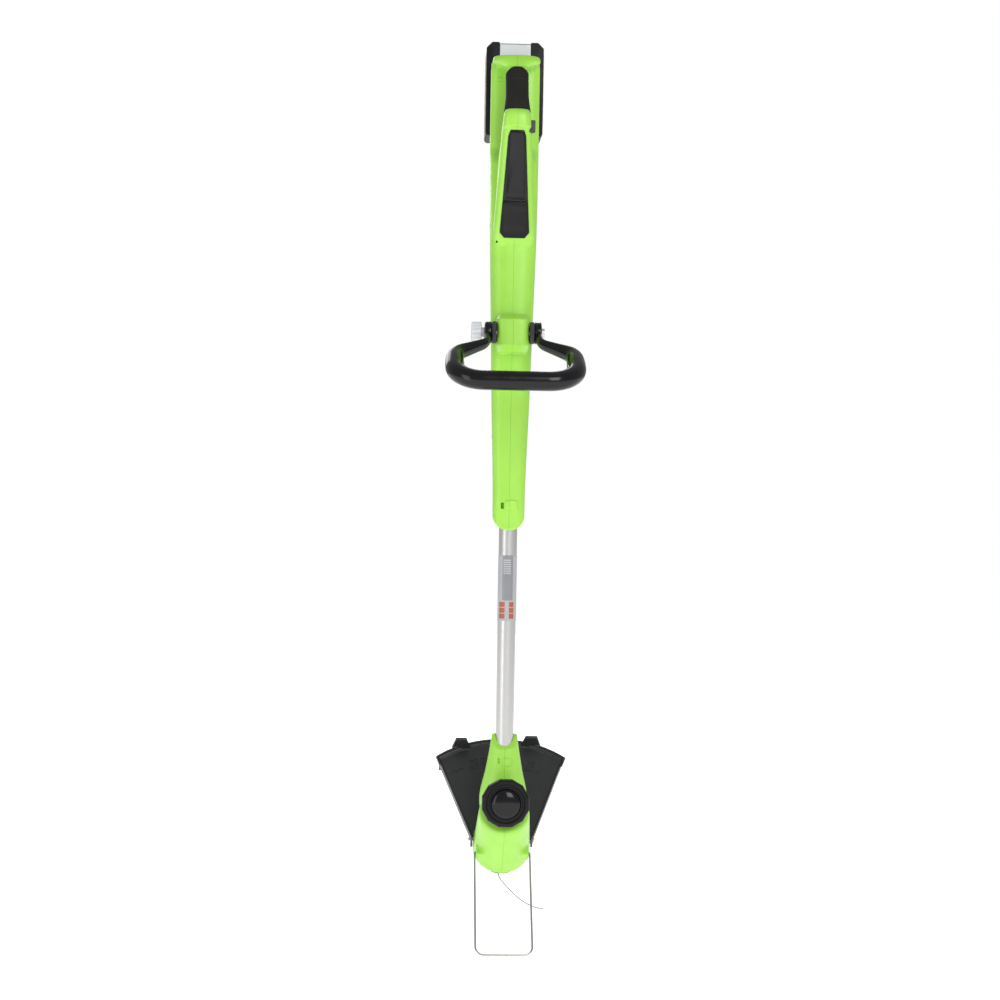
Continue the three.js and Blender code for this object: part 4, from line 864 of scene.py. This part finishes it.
def make_battery():
    upper = battery_case(0.6, 19.7, 1.0)
    cut(upper, block(-22.6, 22.6, -1, 4, -1, 98), block(-27.6, 27.6, 2.4, 9.6, -1, 98),
        block(-22.1, 22.1, -1, 10, 107.4, 132, 0.6),
        block(-42, -35.7, 1.7, 9.3, 13.7, 115.3), block(35.7, 42, 1.7, 9.3, 13.7, 115.3),
        *[block(x - 3.2, x + 3.2, 5, 7, 97, 106) for x in (-12, -4, 4, 12)],
        *[block(x - 0.6, x + 0.6, -1, 1.4, 99, 105, 0.2) for x in np.arange(-30, 31, 4)],
        *[block(side * 40 - 1, side * 40 + 1, 13.5, 15.5, 10, 119) for side in (-1, 1)])
    piece(moved(upper, BATTERY), "battery_upper_shell", "battery", "black_plastic",
          "battery_upper_case")

    lower = battery_case(20, 62, 2.6)
    cuts = []
    for side in (-1, 1):
        cuts += [block(side * 40.6 - 1.6, side * 40.6 + 1.6, 27 + 5 * i, 29 + 5 * i, 16, 112, 0.6)
                 for i in range(5)]
    cuts += [block(-26, 26, 61.2, 64, 16 + 12 * i, 19 + 12 * i, 0.6) for i in range(9)]
    cut(lower, *cuts)
    piece(moved(lower, BATTERY), "battery_lower_shell", "battery", "black_plastic",
          "battery_lower_case")

    for side, name, slot in ((-1, "left", "mid_grey_plastic"), (1, "right", "light_grey_plastic")):
        x0, x1 = sorted((side * 36, side * 40.7))
        strip = block(x0, x1, 2, 9, 14, 115, 0.5)
        cut(strip, *[block(side * 40.9 - 0.8, side * 40.9 + 0.8, 1, 10, z, z + 0.9) for z in
                     np.arange(19, 112, 4.0)])
        piece(moved(strip, BATTERY), f"battery_strip_{name}_ribbed", "battery", slot,
              f"battery_strip_{name}")

    latch = block(-21.5, 21.5, 0.2, 6, 108, 128, 0.9)
    cut(latch, moved(polar([(30, -3), (30, 3)], 96), Matrix.Diagonal((0.62, 0.3, 0.4, 1)),
                     Matrix.Rotation(math.radians(90), 4, "X"), Matrix.Translation((0, -0.6, 119))),
        *[block(-17, 17, -0.5, 0.75, z, z + 0.6) for z in (109.8, 111.4)])
    piece(moved(latch, BATTERY), "battery_latch_key", "battery_latch", "light_grey_plastic",
          "battery_latch")


make_battery()

# ---------------------------------------------------------------- cutting head

SKIRT_RADIUS, SKIRT_DEPTH, HEAD_HEIGHT, TOP_RADIUS = 40.5, 27.0, 72.0, 34.5
NECK = [(22, 28.6, 2, 32), (57, 33.1, -13.5, 40), (101, 25, -16.5, 26), (143, 18.1, -16.5, 17.5),
        (147.9, 17.6, -16.5, 16.5)]
NECK_END = 113.45
HINGE_V, HINGE_W = -22.0, -1.0


def head_radius(w):
    return SKIRT_RADIUS + (w + SKIRT_DEPTH) / (HEAD_HEIGHT + SKIRT_DEPTH) * (TOP_RADIUS - SKIRT_RADIUS)


def neck_loft():
    stations = [(z + HEAD_H, *rest) for z, *rest in NECK]
    return moved(loft(stations, 2.4, 80, 3.0), HEAD.inverted() @ HOUSING)


def tube_bar(radius, low, high, n=96):
    """A bar along the tube, in the head's frame."""
    return moved(bar("z", radius, low + HEAD_H, high + HEAD_H, n=n), HEAD.inverted() @ HOUSING)


def make_head():
    low, top = -SKIRT_DEPTH, HEAD_HEIGHT
    barrel = polar([(0, low), (SKIRT_RADIUS - 0.1, low), (head_radius(top - 6), top - 6),
                    (TOP_RADIUS - 1.2, top - 1.5), (TOP_RADIUS - 4, top), (0, top)], 96)
    neck = cut(neck_loft(), block(-60, 60, -200, 300, NECK_END, 300))
    ears = [block(*sorted((side * 26, side * 36.4)), HINGE_V - 8, 2, -9, 8) for side in (-1, 1)]
    to_head = HEAD.inverted() @ WHEEL
    boss = moved(polar([(0, -50), (24, -50), (21.2, -1.2), (19.8, 0), (0, 0)], 96), to_head)
    shell = fused([barrel, neck, boss] + ears, 0.95, 6)
    wall, floor, ceiling = SHELL_WALL, 3, 67.9  # of the motor's bay
    bay = polar([(0, floor), (head_radius(floor) - wall, floor), (head_radius(68) - 3 - wall, ceiling),
                 (0, ceiling)], 64)
    recess = polar([(0, low - 1), (head_radius(low) - wall, low - 1), (head_radius(-4) - wall, -4),
                    (0, -4)], 96)
    cuts = [bay, recess, tube_bar(TUBE_RADIUS + 0.15, 87.7, 400), tube_bar(7, 60, 89, 32),
            bar("z", 5.5, -27, 20, n=32), moved(bar("z", 4.3, -12, 1, n=32), to_head),
            moved(bar("z", 20, -50, -15, n=48), to_head),
            bar("x", 1.9, -60, 60, HINGE_V, HINGE_W, 24)]
    cuts += [bar("x", 1.6, *sorted((side * 40.5 - 8, side * 40.5 + 8)), 5, -14, 16) for side in (-1, 1)]
    shell = moved(cut(shell, *cuts), HEAD)
    # The tab and its slot on the neck, and a shallow crease low on the skirt.
    ledge = eased(block(-3, 9, 34.6, 40, -911, -900), 0.8)
    shell = join(shell, ledge)
    cut(shell, block(-9.6, -6.8, 30, 38.5, -907.5, -900.5, 0.5),
        block(-17, -8, 30, 36.1, -899.4, -898.6), block(-40.9, -39.2, 0, 200, -1016, -1012))
    halves(shell, "head_shell_left", "head_shell_right")


make_head()


def make_wheel():
    flats = 12

    def twelve(t, radius, soft=0.0):
        step = TAU / flats
        part = (t + step / 2) % step - step / 2
        flat = radius * math.cos(step / 2) / math.cos(part)
        return flat + (radius * 0.985 - flat) * soft
    low, top, r = 0.6, 15.6, 33.0
    tread = ((1.6, low, 0), (0.5, low + 0.5, 0), (0, low + 1.6, 0), (0, top - 3.4, 0),
             (0.6, top - 1.9, 0), (1.8, top - 0.7, 0), (3.2, top - 0.1, 0.2), (4.0, top, 0.4))
    face = ((26.6, 0), (26.2, 0.3), (25.6, 2.2), (25.0, 2.6), (23.0, 2.6), (22.4, 2.2), (22.1, 0.4),
            (21.8, 0.1), (20.6, 0), (20.1, 0.4), (19.8, 1.2), (19.8, 3))
    rows = [(r - 6, low)]
    rows += [(lambda t, d=d, soft=soft: twelve(t, r - d, soft), z) for d, z, soft in tread]
    wheel = polar(rows + [(radius, top - down) for radius, down in face], 192)
    cut(wheel, bar("z", 9.6, top - 8, top, n=48), bar("z", 5.6, low - 1, top, n=32))
    piece(moved(wheel, WHEEL), "edge_wheel_rim", "edge_wheel", "black_plastic", "edge_wheel", 32)
    seat, rise = top - 3, 6.3
    rows = [(11, seat + 0.3), (19.4, seat + 0.3), (19.5, top + 0.6)]
    rows += [(19.5 * math.cos(a), top + 1 + rise * math.sin(a))
             for a in np.linspace(0.05, math.pi / 2, 28)]
    piece(moved(polar(rows, 128), WHEEL), "wheel_dome_cap", "edge_wheel", "gloss_black_plastic",
          "wheel_dome", 50)


make_wheel()

# ---------------------------------------------------------------- guard

GUARD_RADIUS, GUARD_CHORD, GUARD_THICK, GUARD_DEPTH = 155.0, 90.0, 3.0, 30.0
TAB_TOP = 27
MARK_DEPTH = 1.5


def fan(margin, low, high):
    """The guard's outline, drawn out by a margin: straight sides and an arc about the motor axis."""
    radius, chord = GUARD_RADIUS + margin, GUARD_CHORD + margin
    start = SKIRT_RADIUS + 3.3 + margin
    sweep = math.asin(chord / radius)
    arc = [(radius * math.sin(a), radius * math.cos(a)) for a in np.linspace(sweep, -sweep, 48)]
    return prism("z", [(start, 0)] + arc + [(-start, 0)], low, high)


PANEL = [(-6, -8), (6, -8), (6, 8), (-6, 8)]
SHORT_BAR = [(-2.2, -7), (2.2, -7), (2.2, 7), (-2.2, 7)]
ARROW = [(-11, -1.2), (4, -1.2), (4, -4.4), (11, 0), (4, 4.4), (4, 1.2), (-11, 1.2)]
PANELS = (((-38, 117), 12), ((41, 114), -14))
MARKS = [(ARROW, (-62, 106), 205), (SHORT_BAR, (-25, 121), 8), (SHORT_BAR, (24, 120), -8),
         (SHORT_BAR, (53, 108), -20)] + [(PANEL, *panel) for panel in PANELS]


def on_deck(at, angle):
    return Matrix.Translation((*at, 0)) @ Matrix.Rotation(math.radians(angle), 4, "Z")


def make_guard():
    ring = SKIRT_RADIUS + 0.3

    def past(v):
        """Everything further out than v along the guard."""
        return block(-200, 200, v, 300, -100, 100)
    deck = fan(0, 0, GUARD_THICK)
    border = cut(fan(0, -8, GUARD_THICK + 2), fan(-2.6, -9, GUARD_THICK + 3))
    wall = meet(cut(fan(0, -GUARD_DEPTH, 0.5), fan(-GUARD_THICK, -GUARD_DEPTH - 1, 1)),
                past(127))
    lip = meet(cut(fan(3, 2, 8), fan(0, 1, 9)), past(GUARD_RADIUS * 0.74))
    collar = meet(bar("z", ring + 3, -23, 3, n=96), past(-2))
    tabs = []
    for middle, half in ((-57, 10.5), (43.5, 11.5)):
        v = math.sqrt((GUARD_RADIUS + 1.5) ** 2 - middle**2)
        plate = block(middle - 20, middle + 20, v - 2.5, v + 1.5, 4, TAB_TOP)
        tabs.append(meet(plate, prism("y", [
            (3, middle - half - 3), (3, middle + half + 3), (TAB_TOP, middle + half - 3),
            (TAB_TOP, middle - half + 3)], v - 10, v + 10)))
    ribs = [moved(block(-1, 1, 44, 146, -5, 0.5), Matrix.Rotation(math.radians(a), 4, "Z"))
            for a in (-28, -14, 0, 14, 28)]
    shape = fused([deck, border, wall, lip, collar] + tabs + ribs, 0.8, 3)
    cuts = [bar("z", ring, -100, 100, n=128), bar("x", 1.7, -50, -32, 5, -14, 20),
            bar("x", 1.7, 32, 50, 5, -14, 20)]
    deep = GUARD_THICK - MARK_DEPTH
    cuts += [moved(prism("z", mark, deep, 12, 0.35, 2), on_deck(*place)) for mark, *place in MARKS]
    cut(shape, *cuts)
    # Raised pattern inside the two panels.
    raised = []
    for panel in PANELS:
        for i, (x0, x1) in enumerate(((-4, 4), (-4, 1), (-1, 4), (-4, 4))):
            y = 3.6 * i - 6
            stripe = block(x0, x1, y, y + 1.4, deep - 0.5, deep + 0.6, 0.2)
            raised.append(moved(stripe, on_deck(*panel)))
    join(shape, *raised)
    cut(shape, *[moved(bar("y", 1.6, -6, 20, 12, x, 20), BLADE) for x in (-8, 8)])
    piece(moved(shape, HEAD), "guard_shield", "frame", "black_plastic", "guard", 45)
    # The guard takes the lighter black, whose extra lightness is painted sheen, in place of its black_plastic
    # slot.
    shape.data.materials[0] = GUARD_SHEEN_BLACK
    for name, side in (("left", -1), ("right", 1)):
        face = side * (ring + 3 + 0.9)
        screw(HEAD @ Vector((face, 5, -14)), (side, 0, 0), 3.2, 2.0, f"guard_bolt_{name}",
              f"guard_screw_{name}", 1.3, 9.0)


blade_v = GUARD_RADIUS * 0.88
blade_u = -math.sqrt((GUARD_RADIUS - GUARD_THICK) ** 2 - blade_v**2) + 4
BLADE = (Matrix.Translation((blade_u + 3, blade_v - 3, -GUARD_DEPTH))
         @ Matrix.Rotation(math.atan2(-blade_u, blade_v), 4, "Z"))
make_guard()


def make_blade():
    plate = prism("y", [(-5, -15), (-5, 9), (-2, 15), (18, 15), (18, -15)], -1.5, 0, 0.2, 2)
    bevel = moved(block(-20, 20, -4, 0, -8, 0), Matrix.Rotation(math.radians(18), 4, "X"),
                  Matrix.Translation((0, -1.5, -2.4)))
    cut(plate, bevel, *[bar("y", 1.6, -6, 20, 12, x, 24) for x in (-8, 8)])
    piece(moved(plate, BLADE, HEAD), "trimming_blade_plate", "frame", "steel", "trimming_blade", 25)
    for index, x in enumerate((-8, 8), 1):
        at = HEAD @ BLADE @ Vector((x, -1.8, 12))
        out = (HEAD @ BLADE).to_3x3() @ Vector((0, -1, 0))
        screw(at, out, 3.0, 2.0, f"blade_bolt_{index}", f"blade_screw_{index}", 1.3, 6.8)


make_blade()

# ---------------------------------------------------------------- wire guard and line spool


def make_wire_guard():
    leg, end, pin = 38.2, -177.0, 28.4
    route = rounded([(-pin, HINGE_V, HINGE_W), (-leg, HINGE_V, HINGE_W, 2.4), (-leg, end, HINGE_W, 12),
                     (leg, end, HINGE_W, 12), (leg, HINGE_V, HINGE_W, 2.4),
                     (pin, HINGE_V, HINGE_W)], 10)
    wire = swept([tuple(p) for p in route], (0, 0, 1), lambda share: (1.5, 1.5), 24)
    piece(moved(wire, HEAD), "wire_guard_hoop", "wire_guard", "wire_steel", "wire_guard", 50)


make_wire_guard()


def make_line_head():
    top, floor = -9.0, -40.0

    def scallop(t, base, deep=1.0):
        return base - deep * (0.5 + 0.5 * math.cos(12 * t)) ** 6
    rows = [(2.8, top), (31, top), (32.4, top - 0.5), (33, top - 2), (33, top - 14)]
    rows += [(lambda t, d=d: scallop(t, 33, d), z) for z, d in ((top - 16, 0.0), (top - 18, 1.0),
                                                               (floor + 1.5, 1.2))]
    rows += [(lambda t: scallop(t, 32.6), floor), (30.4, floor), (30.4, top - 2.6), (7.5, top - 2.6),
             (7.5, top - 7), (2.8, top - 7)]
    drum = polar(rows, 192, closed_along=True)
    way_out = Matrix.Rotation(exit_angle, 4, "Z")
    cut(drum, moved(bar("x", 3.15, 27, 36, 0, LINE_PLANE, 32), way_out))
    piece(moved(drum, HEAD), "spool_drum_shell", "line_head", "black_plastic", "spool_drum")

    lid_top = floor - 0.3
    lid = polar([(15.6, lid_top), (lambda t: scallop(t, 32.6), lid_top),
                 (lambda t: scallop(t, 33), lid_top - 0.5), (lambda t: scallop(t, 32.4), lid_top - 2.1),
                 (30, lid_top - 2.5), (15.6, lid_top - 2.5)], 192)
    cut(lid, bar("z", 15.6, lid_top - 4, lid_top + 1, n=96),
        *[moved(block(18, 29, -0.7, 0.7, lid_top - 4, lid_top - 2.0), Matrix.Rotation(a, 4, "Z"))
          for a in np.arange(24) * TAU / 24])
    piece(moved(lid, HEAD), "drum_cover_ribbed", "line_head", "black_plastic", "drum_cover")

    base = floor + 2
    grip = lambda t, r: r - 0.8 * (0.5 + 0.5 * math.cos(10 * t)) ** 3
    rows = [(10, base - 0.3), (15, base - 0.3), (15, base - 3.4)]
    rows += [(lambda t, r=r: grip(t, r), base - z)
             for r, z in ((15, 4.5), (14.8, 6.6), (13.6, 8.8), (11.2, 10.4), (8.4, 11))]
    rows += [(7.4, base - 10.4), (0, base - 10.2)]
    piece(moved(polar(rows, 160), HEAD), "bump_knob_domed", "spool", "black_plastic", "bump_knob", 45)

    eyelet = polar([(2.0, 0), (3.0, 0), (3.0, 4.4), (3.1, 4.9), (2.9, 5.4), (2.3, 5.5), (1.6, 5.2)], 48)
    cut(eyelet, bar("z", 1.43, -1, 7, n=32))
    out = Matrix.Translation((29, 0, LINE_PLANE)) @ Matrix.Rotation(math.radians(90), 4, "Y")
    piece(moved(eyelet, out, way_out, HEAD), "line_eyelet_ring", "line_head", "steel", "line_eyelet",
          50)


make_line_head()

# ---------------------------------------------------------------- floor, light and background

low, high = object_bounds()
floor_mesh = bpy.data.meshes.new("floor")
reach, floor_z = 6.0, low[2] - 0.003
floor_mesh.from_pydata([(-reach, -reach, floor_z), (reach, -reach, floor_z), (reach, reach, floor_z),
                        (-reach, reach, floor_z)], [], [(0, 1, 2, 3)])
floor = bpy.data.objects.new("floor", floor_mesh)
scene.collection.objects.link(floor)
floor_look = bpy.data.materials.new("floor")
floor_look.use_nodes = True
shader = floor_look.node_tree.nodes["Principled BSDF"]
for key, value in (("Base Color", (0.95, 0.95, 0.95, 1)), ("Roughness", 0.9),
                   ("Specular IOR Level", 0.1), ("Emission Color", (1, 1, 1, 1)),
                   ("Emission Strength", 0.8)):
    shader.inputs[key].default_value = value
floor_mesh.materials.append(floor_look)

world = bpy.data.worlds.new("studio")
scene.world = world
world.use_nodes = True
tree = world.node_tree
tree.nodes.clear()
seen = tree.nodes.new("ShaderNodeBackground")
seen.inputs[0].default_value = (1, 1, 1, 1)
seen.inputs[1].default_value = 1.0
lit = tree.nodes.new("ShaderNodeBackground")
lit.inputs[0].default_value = (0.97, 0.98, 1.0, 1)
lit.inputs[1].default_value = 0.45
ray = tree.nodes.new("ShaderNodeLightPath")
pick = tree.nodes.new("ShaderNodeMixShader")
out = tree.nodes.new("ShaderNodeOutputWorld")
for start, end in ((ray.outputs["Is Camera Ray"], pick.inputs[0]), (lit.outputs[0], pick.inputs[1]),
                   (seen.outputs[0], pick.inputs[2]), (pick.outputs[0], out.inputs[0])):
    tree.links.new(start, end)


LAMP_AIM = Vector((0, 0, -0.5))  # metres, as each lamp's place and size


def lamp(name, place, wide, tall, watts):
    data = bpy.data.lights.new(name, "AREA")
    data.shape, data.size, data.size_y, data.energy = "RECTANGLE", wide, tall, watts
    obj = bpy.data.objects.new(name, data)
    obj.location = place
    obj.rotation_euler = (LAMP_AIM - Vector(place)).to_track_quat("-Z", "Y").to_euler()
    scene.collection.objects.link(obj)


lamp("key", (0.9, -2.6, 0.7), 1.2, 1.6, 32)
lamp("fill", (-2.0, -1.7, -0.3), 0.9, 1.8, 12)
lamp("back", (-0.6, 2.4, 0.9), 2.0, 1.5, 22)
